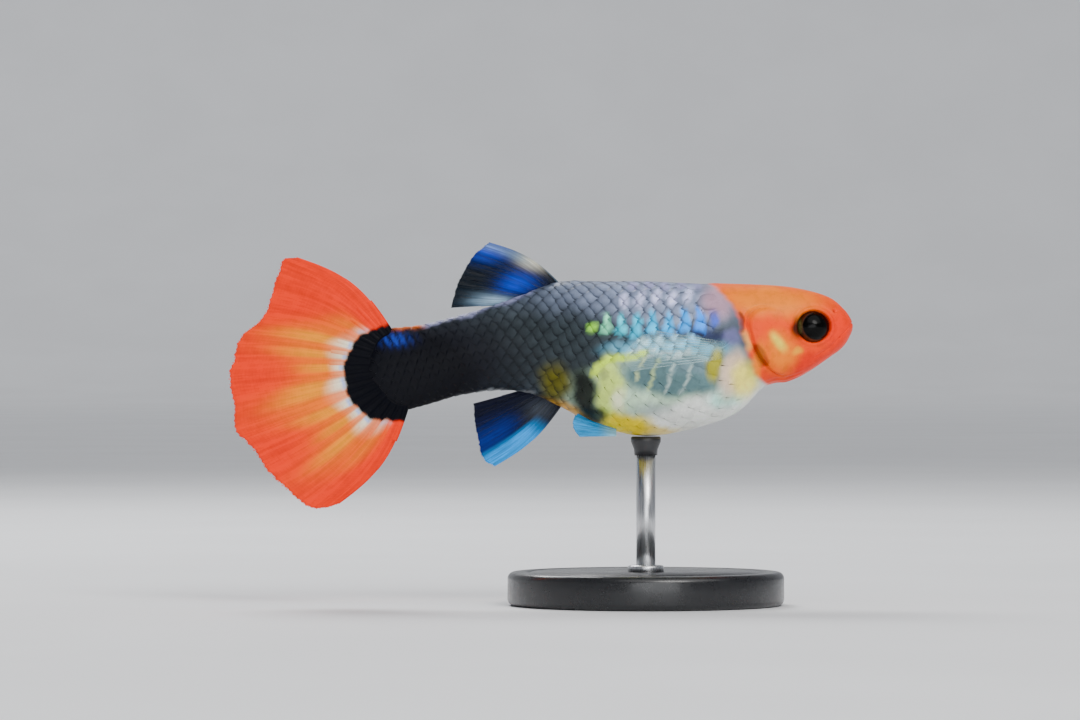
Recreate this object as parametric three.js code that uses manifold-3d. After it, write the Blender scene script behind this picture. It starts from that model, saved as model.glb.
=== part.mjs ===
// A fancy guppy, a round-bellied female about 52 mm long, swimming level on a small display stand.
// Millimetres, +Z up. The snout points along +X and the fish's left side is +Y.
// The origin is under the middle of the whole model, on the surface that the stand rests on.

import * as THREE from 'three';
import { mergeVertices } from 'three/addons/utils/BufferGeometryUtils.js';
import Module from 'manifold-3d';

const wasm = await Module();
wasm.setup();

// Driving sizes

const GAP = 0.3; // clear space between neighbouring pieces
const PARTING = 0.36; // the cut between two lengths of the body, measured along X
const WELD = 1e-4; // corners closer together than this become one
const GIRTH_POINTS = 24; // points round each section of the body

// Sections of the body from the snout to the root of the tail. Each one runs from a point on the
// back to a point on the belly (X, Z), and has its greatest half width at a level between them.
// A fullness below 1 gives a section with fuller shoulders than an ellipse.
const SECTIONS = [
  { name: 'snout tip', back: [26.0, 23.3], belly: [26.0, 23.3], half: 0, level: 0.5, full: 1 },
  { name: 'lips', back: [25.74, 24.0], belly: [25.83, 22.52], half: 0.95, level: 0.5, full: 1 },
  { name: 'snout', back: [25.2, 24.7], belly: [25.15, 21.45], half: 1.65, level: 0.52, full: 0.95 },
  { name: 'brow', back: [24.1, 25.58], belly: [23.9, 20.5], half: 2.25, level: 0.55, full: 0.9 },
  { name: 'eyes', back: [22.2, 26.2], belly: [22.1, 19.3], half: 2.75, level: 0.58, full: 0.86 },
  { name: 'cheek', back: [19.5, 26.6], belly: [20.6, 18.65], half: 3.2, level: 0.54, full: 0.86 },
  { name: 'gill opening', back: [14.3, 26.8], belly: [18.8, 18.2], half: 3.75, level: 0.5, full: 0.88 },
  { name: 'shoulder', back: [12.4, 26.9], belly: [15.8, 15.6], half: 4.3, level: 0.46, full: 0.9 },
  { name: 'belly', back: [9.1, 27.0], belly: [9.5, 14.0], half: 4.75, level: 0.42, full: 0.92 },
  { name: 'hind belly', back: [5.0, 27.0], belly: [4.8, 14.8], half: 4.2, level: 0.43, full: 0.94 },
  { name: 'vent', back: [1.7, 27.0], belly: [1.9, 16.3], half: 3.1, level: 0.48, full: 0.96 },
  { name: 'loin', back: [-1.0, 26.1], belly: [-0.7, 17.5], half: 2.35, level: 0.52, full: 0.98 },
  { name: 'stalk start', back: [-3.7, 25.1], belly: [-3.3, 17.8], half: 1.95, level: 0.52, full: 1 },
  { name: 'stalk', back: [-7.1, 24.1], belly: [-6.5, 17.4], half: 1.55, level: 0.52, full: 1 },
  { name: 'narrow stalk', back: [-10.0, 23.4], belly: [-8.7, 16.8], half: 1.2, level: 0.5, full: 1 },
  { name: 'tail root', back: [-12.5, 23.1], belly: [-11.0, 16.2], half: 0.85, level: 0.5, full: 1 },
  { name: 'tail root shoulder', back: [-13.5, 22.5], belly: [-12.0, 16.4], half: 0.7, level: 0.5, full: 1 },
  { name: 'tail root curve', back: [-14.1, 21.6], belly: [-12.9, 17.1], half: 0.58, level: 0.5, full: 1 },
  { name: 'tail root end', back: [-14.5, 20.5], belly: [-13.9, 18.3], half: 0.45, level: 0.5, full: 1 },
];
const GILL_OPENING = 6; // the head ends at this section
const STALK_START = 12; // the trunk ends at this section
const TAIL_ROOT = 15; // the tail fin grips the stalk from this section on
const STEPS_PER_SECTION = 3;

const EYE = { x: 22.7, z: 23.2, long: 1.44, tall: 1.34, deep: 1.0, proud: 0.4, ahead: 16, upwards: 5 };
const ORBIT_RIM = { radius: 0.19, spread: 1.09, sunk: 0.08 };
const MOUTH = {
  corner: [24.85, 22.25], front: [25.9, 23.5], lip: 0.18, lipSunk: 0.1, slit: 0.12, depth: 0.45,
};
const NOSTRIL = { x: 24.4, z: 24.5, radius: 0.25 };
// A plate's mesh, and the millimetres of skin in one place and in one radian of turn at the gills.
const PLATE = { rings: 4, spokes: 22, placeSize: 4, turnSize: 3.6 };
const GILL_COVER = { section: 5.24, turn: 16, reach: 0.54, sweep: 40, proud: 0.26, sunk: 0.4, edge: 0.1 };

// Fins. Half thicknesses are of the membrane between the rays, at the root and at the tip.
const MEMBRANE = { root: 0.27, tip: 0.17 };
const RIDGE = 0.13; // how far a ray stands out of its membrane on each face
const MIDDLE_FIN_LIFT = GAP + 0.05; // from the body's outline to the root of a fin on the middle line

const TAIL_FIN = {
  rays: 16,
  rows: 9,
  forkAt: 0.5,
  grip: 0.42, // how far the fin's root stands off the rounded end of the stalk
  upperBow: 1.15,
  lowerBow: 1.05,
  sway: 0.35,
  thick: 0.36,
  notch: 0.018, // how far the edge falls back between two rays, as a share of their length
  hub: [-12.4, 19.6],
  // the free edge from the upper corner round to the lower corner (X, Z)
  edge: [
    [-20.3, 28.95], [-21.5, 28.75], [-21.95, 27.5], [-23.1, 24.1], [-25.0, 22.35], [-25.6, 20.4],
    [-26.0, 18.9], [-25.55, 16.8], [-25.4, 14.6], [-24.1, 13.1], [-22.6, 11.0], [-20.9, 9.35],
    [-19.3, 8.15], [-18.0, 8.05], [-16.8, 8.4],
  ],
};
const DORSAL_FIN = {
  rays: 8,
  rows: 6,
  forkAt: 0.55,
  from: 1.7, // X of the first ray's root, and of the last one's
  to: -2.4,
  bow: 0.6,
  edge: [[-4.3, 30.2], [-5.5, 29.2], [-6.3, 28.0], [-7.0, 26.5], [-7.45, 24.75]],
};
const ANAL_FIN = {
  rays: 9,
  rows: 6,
  forkAt: 0.55,
  from: 1.8,
  to: -0.8,
  bow: -0.55,
  edge: [[-3.9, 11.5], [-4.9, 12.3], [-5.2, 13.8], [-5.5, 15.4], [-5.6, 16.75]],
};
const PECTORAL_FIN = {
  rays: 8, rows: 6, forkAt: 0.6, notch: 0.03, thick: 0.25, x: 15.0, z: 21.2, rootHeight: 1.3, length: 8.7,
  rise: 0, spread: 17, outward: 25, roll: 64,
};
const PELVIC_FIN = {
  rays: 5, rows: 5, forkAt: 0.6, notch: 0.03, thick: 0.25, x: 6.1, y: 1.5, rootWidth: 0.8, length: 3.5,
  rise: 12, splay: 7, spread: 15, roll: 50,
};

const STAND_X = 8.8; // the rod and the middle of the base stand here
const BASE = { radius: 11.5, height: 2.8, bevel: 0.5, socketDepth: 1.9, footInset: 0.7 };
const ROD = { radius: 0.8, padRadius: 1.25, padHeight: 0.9 };

const ORANGE = 0xff5a00;
const SLATE = 0x5d6c80;

// Small helpers

const degrees = THREE.MathUtils.degToRad;
const point = ([x, z], y = 0) => new THREE.Vector3(x, y, z);

function material(color, roughness, metalness = 0) {
  return new THREE.MeshStandardMaterial({ color, roughness, metalness });
}

function mesh(name, geometry, finish) {
  const piece = new THREE.Mesh(geometry, finish);
  piece.name = name;
  return piece;
}

// A closed geometry from corners and triangles, turned inside out if it was wound inwards.
function closedGeometry(corners, triangles) {
  let volume = 0;
  for (const [a, b, c] of triangles) {
    volume += corners[a].dot(new THREE.Vector3().crossVectors(corners[b], corners[c]));
  }
  const ordered = volume > 0 ? triangles : triangles.map(([a, b, c]) => [a, c, b]);
  const geometry = new THREE.BufferGeometry();
  geometry.setAttribute(
    'position',
    new THREE.Float32BufferAttribute(corners.flatMap((corner) => corner.toArray()), 3),
  );
  geometry.setIndex(ordered.flat());
  return geometry;
}

function solid(geometry) {
  const bare = geometry.clone();
  for (const name of Object.keys(bare.attributes)) {
    if (name !== 'position') {
      bare.deleteAttribute(name);
    }
  }
  const merged = mergeVertices(bare, WELD);
  return new wasm.Manifold(
    new wasm.Mesh({
      numProp: 3,
      vertProperties: new Float32Array(merged.attributes.position.array),
      triVerts: new Uint32Array(merged.index.array),
    }),
  );
}

// The largest closed surface of a solid, as a geometry.
function largestSurface(body) {
  const pieces = body.decompose();
  pieces.sort((a, b) => b.volume() - a.volume());
  const result = pieces[0].getMesh();
  const geometry = new THREE.BufferGeometry();
  geometry.setAttribute('position', new THREE.BufferAttribute(new Float32Array(result.vertProperties), 3));
  geometry.setIndex(new THREE.BufferAttribute(new Uint32Array(result.triVerts), 1));
  return geometry;
}

// The body's skin as a function of a place along it and a turn round it

function cubic(before, start, end, after, share) {
  const square = share * share;
  return 0.5 * (
    2 * start
    + (end - before) * share
    + (2 * before - 5 * start + 4 * end - after) * square
    + (3 * start - before - 3 * end + after) * square * share
  );
}

const flatSections = SECTIONS.map(
  (section) => [...section.back, ...section.belly, section.half, section.level, section.full],
);

// The section before the snout tip mirrors the lips, which rounds the tip off.
function sectionRow(index) {
  if (index < 0) {
    const [backX, backZ, bellyX, bellyZ, half, level, full] = flatSections[1];
    return [bellyX, bellyZ, backX, backZ, -half, level, full];
  }
  return flatSections[Math.min(index, flatSections.length - 1)];
}

function sectionAt(place) {
  const index = Math.min(Math.floor(place), SECTIONS.length - 2);
  const rows = [-1, 0, 1, 2].map((step) => sectionRow(index + step));
  const values = rows[0].map(
    (_, column) => cubic(rows[0][column], rows[1][column], rows[2][column], rows[3][column], place - index),
  );
  const [backX, backZ, bellyX, bellyZ, half, level, full] = values;
  return { back: point([backX, backZ]), belly: point([bellyX, bellyZ]), half, level, full };
}

// A turn of 0 is the left flank, 90 degrees the back, 180 the right flank and 270 the belly.
function skinPoint(place, turn) {
  const { back, belly, half, level, full } = sectionAt(place);
  const sideways = Math.cos(turn);
  const upwards = Math.sin(turn);
  const height = level + (upwards > 0 ? 1 - level : level) * Math.sign(upwards) * Math.abs(upwards) ** full;
  const result = belly.clone().lerp(back, height);
  result.y = half * Math.sign(sideways) * Math.abs(sideways) ** full;
  return result;
}

function skinNormal(place, turn) {
  const step = 0.01;
  const along = skinPoint(place - step, turn).sub(skinPoint(place + step, turn));
  const round = skinPoint(place, turn + step).sub(skinPoint(place, turn - step));
  return round.cross(along).normalize();
}

// The place and turn where the right flank passes through (x, z), found by closing in on it.
function flankPlace(x, z) {
  let place = 6;
  let turn = Math.PI;
  for (let pass = 0; pass < 40; pass += 1) {
    const here = skinPoint(place, turn);
    const along = (skinPoint(place + 0.01, turn).x - here.x) / 0.01;
    place = THREE.MathUtils.clamp(place + 0.6 * ((x - here.x) / along), 0.05, SECTIONS.length - 1.05);
    const level = skinPoint(place, turn);
    const upwards = (skinPoint(place, turn - 0.01).z - level.z) / 0.01;
    const turnStep = THREE.MathUtils.clamp((z - level.z) / upwards, -0.3, 0.3);
    turn = THREE.MathUtils.clamp(turn - 0.6 * turnStep, Math.PI * 0.52, Math.PI * 1.48);
  }
  return { place, turn, half: Math.abs(skinPoint(place, turn).y) };
}

// The number between low and high where a test that holds at low stops holding.
function lastWhere(low, high, holds) {
  for (let pass = 0; pass < 40; pass += 1) {
    const middle = (low + high) / 2;
    if (holds(middle)) {
      low = middle;
    } else {
      high = middle;
    }
  }
  return low;
}

const outlinePlace = (edge, x) => lastWhere(0, TAIL_ROOT, (place) => sectionAt(place)[edge].x > x);

// Height of the back's or belly's outline at a given X.
function outlineHeight(edge, x) {
  return sectionAt(outlinePlace(edge, x))[edge].z;
}

// Height of the underside at a given X and at a distance y from the middle.
function undersideHeight(x, y) {
  const place = outlinePlace('belly', x);
  const turn = lastWhere(1.5 * Math.PI, Math.PI, (angle) => Math.abs(skinPoint(place, angle).y) < y);
  return skinPoint(place, turn).z;
}

// A length of the body from one section to another, parted from its neighbours along X.
function bodyLength(from, to) {
  const steps = Math.round((to - from) * STEPS_PER_SECTION);
  const corners = [];
  const triangles = [];
  const partings = new Map();
  if (from > 0) {
    partings.set(0, -PARTING / 2);
  }
  if (to < SECTIONS.length - 1) {
    partings.set(steps, PARTING / 2);
  }
  for (let step = 0; step <= steps; step += 1) {
    const place = from + ((to - from) * step) / steps;
    for (let index = 0; index < GIRTH_POINTS; index += 1) {
      const corner = skinPoint(place, (index / GIRTH_POINTS) * 2 * Math.PI);
      corner.x += partings.get(step) ?? 0;
      corners.push(corner);
    }
  }
  for (let step = 0; step < steps; step += 1) {
    for (let index = 0; index < GIRTH_POINTS; index += 1) {
      const next = (index + 1) % GIRTH_POINTS;
      const a = step * GIRTH_POINTS + index;
      const b = step * GIRTH_POINTS + next;
      const c = a + GIRTH_POINTS;
      const d = b + GIRTH_POINTS;
      triangles.push([a, b, d], [a, d, c]);
    }
  }
  for (const [ring, flipped] of [[0, true], [steps, false]]) {
    const start = ring * GIRTH_POINTS;
    const centre = new THREE.Vector3();
    for (let index = 0; index < GIRTH_POINTS; index += 1) {
      centre.addScaledVector(corners[start + index], 1 / GIRTH_POINTS);
    }
    corners.push(centre);
    for (let index = 0; index < GIRTH_POINTS; index += 1) {
      const a = start + index;
      const b = start + ((index + 1) % GIRTH_POINTS);
      triangles.push(flipped ? [b, a, corners.length - 1] : [a, b, corners.length - 1]);
    }
  }
  return closedGeometry(corners, triangles);
}

// A cover on the skin with an oval outline, from a depth under the skin to a height over it.
function skinPlate(side, cover, grow, sunk, proud, edge) {
  const { rings, spokes, placeSize, turnSize } = PLATE;
  const corners = [];
  const triangles = [];
  const place = (ring, spoke) => {
    const share = ring / rings;
    const angle = (spoke / spokes) * 2 * Math.PI;
    const reach = cover.reach + grow / placeSize;
    const sweep = degrees(cover.sweep) + grow / turnSize;
    return [
      cover.section + reach * share * Math.cos(angle),
      Math.PI + degrees(cover.turn) + sweep * share * Math.sin(angle),
      share,
    ];
  };
  for (const face of [1, -1]) {
    for (let ring = 0; ring <= rings; ring += 1) {
      for (let spoke = 0; spoke < spokes; spoke += 1) {
        const [along, turn, share] = place(ring, spoke);
        const rise = face > 0 ? edge + (proud - edge) * (1 - share ** 4) : -sunk;
        const corner = skinPoint(along, turn).addScaledVector(skinNormal(along, turn), rise);
        corner.y *= side;
        corners.push(corner);
      }
    }
  }
  const back = (rings + 1) * spokes;
  for (let ring = 0; ring < rings; ring += 1) {
    for (let spoke = 0; spoke < spokes; spoke += 1) {
      const next = (spoke + 1) % spokes;
      const a = ring * spokes + spoke;
      const b = ring * spokes + next;
      const c = a + spokes;
      const d = b + spokes;
      if (ring > 0) {
        triangles.push([a, b, d], [back + a, back + d, back + b]);
      }
      triangles.push([a, d, c], [back + a, back + c, back + d]);
    }
  }
  for (let spoke = 0; spoke < spokes; spoke += 1) {
    const a = rings * spokes + spoke;
    const b = rings * spokes + ((spoke + 1) % spokes);
    triangles.push([a, b, back + b], [a, back + b, back + a]);
  }
  return mergeVertices(closedGeometry(corners, triangles), WELD);
}

function gillCover(side) {
  const { sunk, proud, edge } = GILL_COVER;
  return skinPlate(side, GILL_COVER, 0, sunk, proud, edge);
}

function gillPocket(side) {
  return skinPlate(side, GILL_COVER, GAP, GILL_COVER.sunk + GAP, 1, 1);
}

// Head

const eyeFlank = flankPlace(EYE.x, EYE.z).half;

// Sets a piece that was made round the origin at an eye's height, looking out a little ahead and up.
function setAtEye(piece, side, sunk) {
  const place = new THREE.Object3D();
  place.rotation.set(-side * degrees(EYE.upwards), 0, side * degrees(EYE.ahead), 'ZXY');
  const gaze = new THREE.Vector3(0, -side, 0).applyEuler(place.rotation);
  const centre = new THREE.Vector3(EYE.x, -side * eyeFlank, EYE.z).addScaledVector(gaze, -sunk);
  piece.rotation.copy(place.rotation);
  piece.position.copy(centre);
  piece.updateMatrix();
  return piece;
}

function bakedAtEye(geometry, side, sunk) {
  return geometry.applyMatrix4(setAtEye(new THREE.Object3D(), side, sunk).matrix);
}

function eyeball(grow) {
  const ball = new THREE.SphereGeometry(1, 20, 12);
  ball.rotateX(Math.PI / 2);
  ball.scale(EYE.long + grow, EYE.deep + grow, EYE.tall + grow);
  return ball;
}

function orbitRim(side) {
  const { radius, spread, sunk } = ORBIT_RIM;
  const tube = radius / EYE.tall;
  const rim = new THREE.TorusGeometry(1, tube, 8, 28);
  rim.rotateX(Math.PI / 2);
  rim.scale(EYE.long * spread, EYE.tall, EYE.tall * spread);
  return bakedAtEye(rim, side, sunk);
}

// The line of the mouth, from the right corner round the front of the snout to the left corner.
function mouthLine(outwards, shift) {
  const corner = point(MOUTH.corner);
  const front = point(MOUTH.front);
  const along = front.clone().sub(corner);
  const across = new THREE.Vector3(-along.z, 0, along.x).normalize();
  const half = flankPlace(corner.x, corner.z).half + outwards;
  const points = [];
  const steps = 6; // on each side of the snout
  for (let step = -steps; step <= steps; step += 1) {
    const angle = (step / steps) * (Math.PI / 2);
    const spot = corner.clone().addScaledVector(along, Math.cos(angle) * (1 + outwards / along.length()));
    spot.y = half * Math.sin(angle);
    points.push(spot.addScaledVector(across, shift));
  }
  return points;
}

function lip(shift) {
  const path = new THREE.CatmullRomCurve3(mouthLine(-MOUTH.lipSunk, shift));
  const section = new THREE.Shape();
  section.absellipse(0, 0, MOUTH.lip, MOUTH.lip, 0, 2 * Math.PI);
  return new THREE.ExtrudeGeometry(section, { steps: 14, curveSegments: 4, extrudePath: path });
}

function mouthSlit() {
  const corners = [];
  const triangles = [];
  const clear = 2 * MOUTH.lip; // the cutter starts this far outside the skin
  for (const [outwards, shift] of [[clear, 0.5], [clear, -0.5], [-MOUTH.depth, -0.5], [-MOUTH.depth, 0.5]]) {
    corners.push(...mouthLine(outwards, shift * MOUTH.slit));
  }
  const count = corners.length / 4;
  for (let edge = 0; edge < 4; edge += 1) {
    for (let step = 0; step < count - 1; step += 1) {
      const a = edge * count + step;
      const b = ((edge + 1) % 4) * count + step;
      triangles.push([a, b, b + 1], [a, b + 1, a + 1]);
    }
  }
  const last = count - 1;
  triangles.push([0, 2 * count, count], [0, 3 * count, 2 * count]);
  triangles.push([last, count + last, 2 * count + last], [last, 2 * count + last, 3 * count + last]);
  return closedGeometry(corners, triangles);
}

function nostril(side) {
  const pit = new THREE.IcosahedronGeometry(NOSTRIL.radius, 1);
  pit.translate(NOSTRIL.x, side * flankPlace(NOSTRIL.x, NOSTRIL.z).half, NOSTRIL.z);
  return pit;
}

function head() {
  let body = solid(bodyLength(0, GILL_OPENING));
  body = body.add(solid(lip(MOUTH.lip))).add(solid(lip(-MOUTH.lip)));
  for (const side of [1, -1]) {
    body = body.add(solid(orbitRim(side)));
  }
  body = body.subtract(solid(mouthSlit()));
  for (const side of [1, -1]) {
    body = body.subtract(solid(bakedAtEye(eyeball(GAP), side, EYE.deep - EYE.proud)));
    body = body.subtract(solid(gillPocket(side)));
    body = body.subtract(solid(nostril(side)));
  }
  return largestSurface(body);
}

// Fins. A fin is a membrane ruled from its root line to its free edge, with a ridge for each ray
// on both faces. Both faces are split into the same triangles. Each gap between two rays is four
// columns wide, and past the fork a ray's ridge gives way to one ridge in each gap beside it.

const LANES = 4;

function ridgeHeight(column, along, forkAt) {
  const lane = column % LANES;
  const single = [1, 0.3, 0, 0.3][lane];
  const forked = [0.15, 0.9, 0, 0.9][lane];
  const share = THREE.MathUtils.smoothstep(along, forkAt - 0.12, forkAt + 0.12);
  return THREE.MathUtils.lerp(single, forked, share);
}

function rayedFin(fin) {
  const columns = (fin.rays - 1) * LANES;
  const corners = [];
  const triangles = [];
  const notch = fin.notch ?? 0.02;
  for (const face of [1, -1]) {
    for (let row = 0; row <= fin.rows; row += 1) {
      for (let column = 0; column <= columns; column += 1) {
        const across = column / columns;
        const reach = column % LANES === LANES / 2 ? 1 - notch : 1;
        const along = (row / fin.rows) * reach;
        const thick = THREE.MathUtils.lerp(fin.thick ?? MEMBRANE.root, MEMBRANE.tip, along);
        const ridge = RIDGE * (1 - 0.55 * along) * ridgeHeight(column, along, fin.forkAt);
        corners.push(fin.at(across, along).addScaledVector(fin.normal(along), face * (thick + ridge)));
      }
    }
  }
  const wide = columns + 1;
  const back = (fin.rows + 1) * wide;
  const border = [];
  for (let row = 0; row < fin.rows; row += 1) {
    for (let column = 0; column < columns; column += 1) {
      const a = row * wide + column;
      const [b, c, d] = [a + 1, a + wide, a + wide + 1];
      triangles.push([a, b, d], [a, d, c], [back + a, back + d, back + b], [back + a, back + c, back + d]);
    }
  }
  for (let column = 0; column < columns; column += 1) {
    border.push([column + 1, column], [fin.rows * wide + column, fin.rows * wide + column + 1]);
  }
  for (let row = 0; row < fin.rows; row += 1) {
    border.push([row * wide, (row + 1) * wide], [(row + 1) * wide + columns, row * wide + columns]);
  }
  for (const [a, b] of border) {
    triangles.push([a, b, back + b], [a, back + b, back + a]);
  }
  return closedGeometry(corners, triangles);
}

const SIDEWAYS = new THREE.Vector3(0, 1, 0);

// Ruled from the root line to the edge, with the first and last rays bowed out of the straight.
function ruled(root, edge, bow, sway) {
  return (across, along) => {
    const start = root(across);
    const end = edge(across);
    const ray = end.clone().sub(start);
    const bend = new THREE.Vector3(-ray.z, 0, ray.x).normalize().multiplyScalar(-bow(across));
    const spot = start.lerp(end, along).addScaledVector(bend, Math.sin(Math.PI * along));
    spot.y += sway(across, along);
    return spot;
  };
}

function edgeCurve(points) {
  const curve = new THREE.CatmullRomCurve3(points.map((spot) => point(spot)));
  return (across) => curve.getPointAt(across);
}

function tailFin() {
  const hub = point(TAIL_FIN.hub);
  const stalkEnd = SECTIONS.slice(TAIL_ROOT);
  const outline = [
    ...stalkEnd.map((section) => point(section.back)),
    ...stalkEnd.map((section) => point(section.belly)).reverse(),
  ];
  const grip = outline.map((spot) => spot.add(spot.clone().sub(hub).setLength(TAIL_FIN.grip)));
  const rootCurve = new THREE.CatmullRomCurve3(grip);
  const bow = (across) => (across < 0.5
    ? TAIL_FIN.upperBow * (1 - 2 * across) ** 1.5
    : -TAIL_FIN.lowerBow * (2 * across - 1) ** 1.5);
  const sway = (across, along) => TAIL_FIN.sway * along * along * Math.sin(across * 5.2 + 0.6);
  return rayedFin({
    ...TAIL_FIN,
    at: ruled((across) => rootCurve.getPointAt(across), edgeCurve(TAIL_FIN.edge), bow, sway),
    normal: () => SIDEWAYS,
  });
}

function middleFin(fin, edge, lift) {
  const root = (across) => {
    const x = THREE.MathUtils.lerp(fin.from, fin.to, across);
    return point([x, outlineHeight(edge, x) + lift]);
  };
  return rayedFin({
    ...fin,
    at: ruled(root, edgeCurve(fin.edge), (across) => fin.bow * (1 - across) ** 2, () => 0),
    normal: () => SIDEWAYS,
  });
}

// A paired fin spreads like a fan from a short root line, and twists from the root's lie to its own.
function pairedFin(fin, root, rootLine, heading, spreadLine) {
  const at = (across, along) => {
    const turn = degrees(fin.spread) * (2 * across - 1);
    const tip = heading.clone().multiplyScalar(Math.cos(turn)).addScaledVector(spreadLine, Math.sin(turn));
    const length = fin.length * (0.8 + 0.2 * Math.sin(Math.PI * (0.15 + 0.75 * (1 - across))));
    return root.clone()
      .addScaledVector(rootLine, across - 0.5)
      .addScaledVector(tip, length * along);
  };
  const normal = (along) => {
    const line = rootLine.clone().normalize().lerp(spreadLine, along);
    return line.cross(heading).normalize();
  };
  return rayedFin({ ...fin, at, normal });
}

function pectoralFin(side) {
  const fin = PECTORAL_FIN;
  const away = degrees(fin.outward);
  const roll = degrees(fin.roll);
  const heading = new THREE.Vector3(-Math.cos(away), -side * Math.sin(away), fin.rise).normalize();
  const outwards = new THREE.Vector3(-Math.sin(away), side * -Math.cos(away), 0);
  const spreadLine = new THREE.Vector3(0, 0, -Math.cos(roll)).addScaledVector(outwards, Math.sin(roll));
  const top = flankPlace(fin.x, fin.z + fin.rootHeight / 2).half;
  const low = flankPlace(fin.x, fin.z - fin.rootHeight / 2).half;
  const root = new THREE.Vector3(fin.x, -side * (Math.max(top, low) + GAP + fin.thick / 2), fin.z);
  const rootLine = new THREE.Vector3(0, 0, -fin.rootHeight);
  return pairedFin(fin, root, rootLine, heading, spreadLine);
}

function pelvicFin(side) {
  const fin = PELVIC_FIN;
  const splay = degrees(fin.splay);
  const heading = new THREE.Vector3(-Math.cos(splay), -side * Math.sin(splay), Math.sin(degrees(fin.rise)));
  heading.normalize();
  const roll = degrees(fin.roll);
  const spreadLine = new THREE.Vector3(0, -side * Math.cos(roll), -Math.sin(roll));
  const rise = (fin.rootWidth / 2) * Math.sin(roll) + fin.thick + RIDGE;
  const inner = fin.y - fin.rootWidth / 2;
  const root = new THREE.Vector3(fin.x, -side * fin.y, undersideHeight(fin.x, inner) - GAP - rise);
  const rootLine = spreadLine.clone().multiplyScalar(fin.rootWidth);
  return pairedFin(fin, root, rootLine, heading, spreadLine);
}

// Stand

function standBase() {
  const { radius, height, bevel, socketDepth, footInset } = BASE;
  const bore = ROD.radius + GAP;
  const profile = [
    [0, 0], [radius - footInset, 0], [radius, bevel], [radius, height - bevel], [radius - bevel, height],
    [bore, height], [bore, height - socketDepth], [0, height - socketDepth],
  ].map(([x, y]) => new THREE.Vector2(x, y));
  const base = new THREE.LatheGeometry(profile, 48);
  base.rotateX(Math.PI / 2);
  return base;
}

function standRod() {
  const foot = BASE.height - BASE.socketDepth + GAP;
  const top = outlineHeight('belly', STAND_X) - GAP;
  const { radius, padRadius, padHeight } = ROD;
  const profile = [
    [0, foot], [radius, foot], [radius, top - padHeight], [padRadius, top - padHeight * 0.35],
    [padRadius, top - 0.1], [padRadius - 0.1, top], [0, top],
  ].map(([x, y]) => new THREE.Vector2(x, y));
  const rod = new THREE.LatheGeometry(profile, 20);
  rod.rotateX(Math.PI / 2);
  return rod;
}

// Assembly

const guppy = new THREE.Group();
const headSkin = material(ORANGE, 0.35);
const flankSkin = material(SLATE, 0.4);

guppy.add(mesh('head', head(), headSkin));
guppy.add(mesh('trunk', bodyLength(GILL_OPENING, STALK_START), flankSkin));
guppy.add(mesh('tail_stalk', bodyLength(STALK_START, SECTIONS.length - 1), material(0x20222c, 0.45)));

for (const [name, side] of [['right', 1], ['left', -1]]) {
  const eye = mesh(`eye_${name}`, eyeball(0), material(0x0b0a08, 0.08));
  guppy.add(setAtEye(eye, side, EYE.deep - EYE.proud));
  guppy.add(mesh(`gill_cover_${name}`, gillCover(side), material(0xff8c14, 0.25, 0.2)));
  guppy.add(mesh(`pectoral_fin_${name}`, pectoralFin(side), material(0xcfe2dc, 0.3)));
  guppy.add(mesh(`pelvic_fin_${name}`, pelvicFin(side), material(0x2f9be0, 0.3)));
}

guppy.add(mesh('dorsal_fin', middleFin(DORSAL_FIN, 'back', MIDDLE_FIN_LIFT), material(0x3c5aa0, 0.35)));
guppy.add(mesh('anal_fin', middleFin(ANAL_FIN, 'belly', -MIDDLE_FIN_LIFT), material(0x1478d8, 0.35)));
guppy.add(mesh('caudal_fin', tailFin(), material(0xff4a00, 0.4)));

const stand = new THREE.Group();
const base = mesh('stand_base', standBase(), material(0x17181b, 0.3));
base.position.set(STAND_X, 0, 0);
const rod = mesh('stand_rod', standRod(), material(0xb9bcc0, 0.25, 1));
rod.position.set(STAND_X, 0, 0);
stand.add(base, rod);
guppy.add(stand);

export default guppy;
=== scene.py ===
"""A fancy guppy on a small display stand.

The fish is dressed in one skin with solid scales over it, glossy eyes and rayed fins. Its sizes and the
stand's are in millimetres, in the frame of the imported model: +X to the snout, +Y to the fish's left side,
+Z up. Meshes are written in metres.
"""

from __future__ import annotations

import logging
import math
from dataclasses import dataclass, field
from enum import Enum

import bpy
import numpy as np
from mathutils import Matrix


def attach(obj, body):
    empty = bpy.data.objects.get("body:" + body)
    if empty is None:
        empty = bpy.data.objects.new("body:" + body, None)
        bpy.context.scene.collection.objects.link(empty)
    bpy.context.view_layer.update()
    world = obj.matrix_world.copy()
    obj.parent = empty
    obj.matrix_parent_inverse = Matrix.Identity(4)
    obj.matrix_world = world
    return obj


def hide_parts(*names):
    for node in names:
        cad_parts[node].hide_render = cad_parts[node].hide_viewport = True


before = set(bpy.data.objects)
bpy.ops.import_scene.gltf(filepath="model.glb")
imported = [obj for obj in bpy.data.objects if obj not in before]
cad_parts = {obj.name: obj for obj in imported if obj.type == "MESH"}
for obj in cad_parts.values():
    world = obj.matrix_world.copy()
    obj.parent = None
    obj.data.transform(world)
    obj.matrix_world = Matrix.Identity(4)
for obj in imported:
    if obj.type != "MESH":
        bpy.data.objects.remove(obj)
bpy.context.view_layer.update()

MM = 0.001
SEED = 20
LOG = logging.getLogger("guppy")

Array = np.ndarray
Pair = tuple[float, float]
Triple = Colour = tuple[float, float, float]
Path = tuple[Pair, ...]


class Slot(Enum):
    """Material slots of the record."""

    BODY = "body_skin"
    EYE = "eye"
    TAIL_FIN = "tail_fin"
    BLUE_FIN = "blue_fin"
    CLEAR_FIN = "clear_fin"
    BASE = "stand_base"
    ROD = "stand_rod"


class Side(Enum):
    """The two sides of the fish, 1 on the right and -1 on the left."""

    RIGHT = 1
    LEFT = -1


# Number helpers


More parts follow.
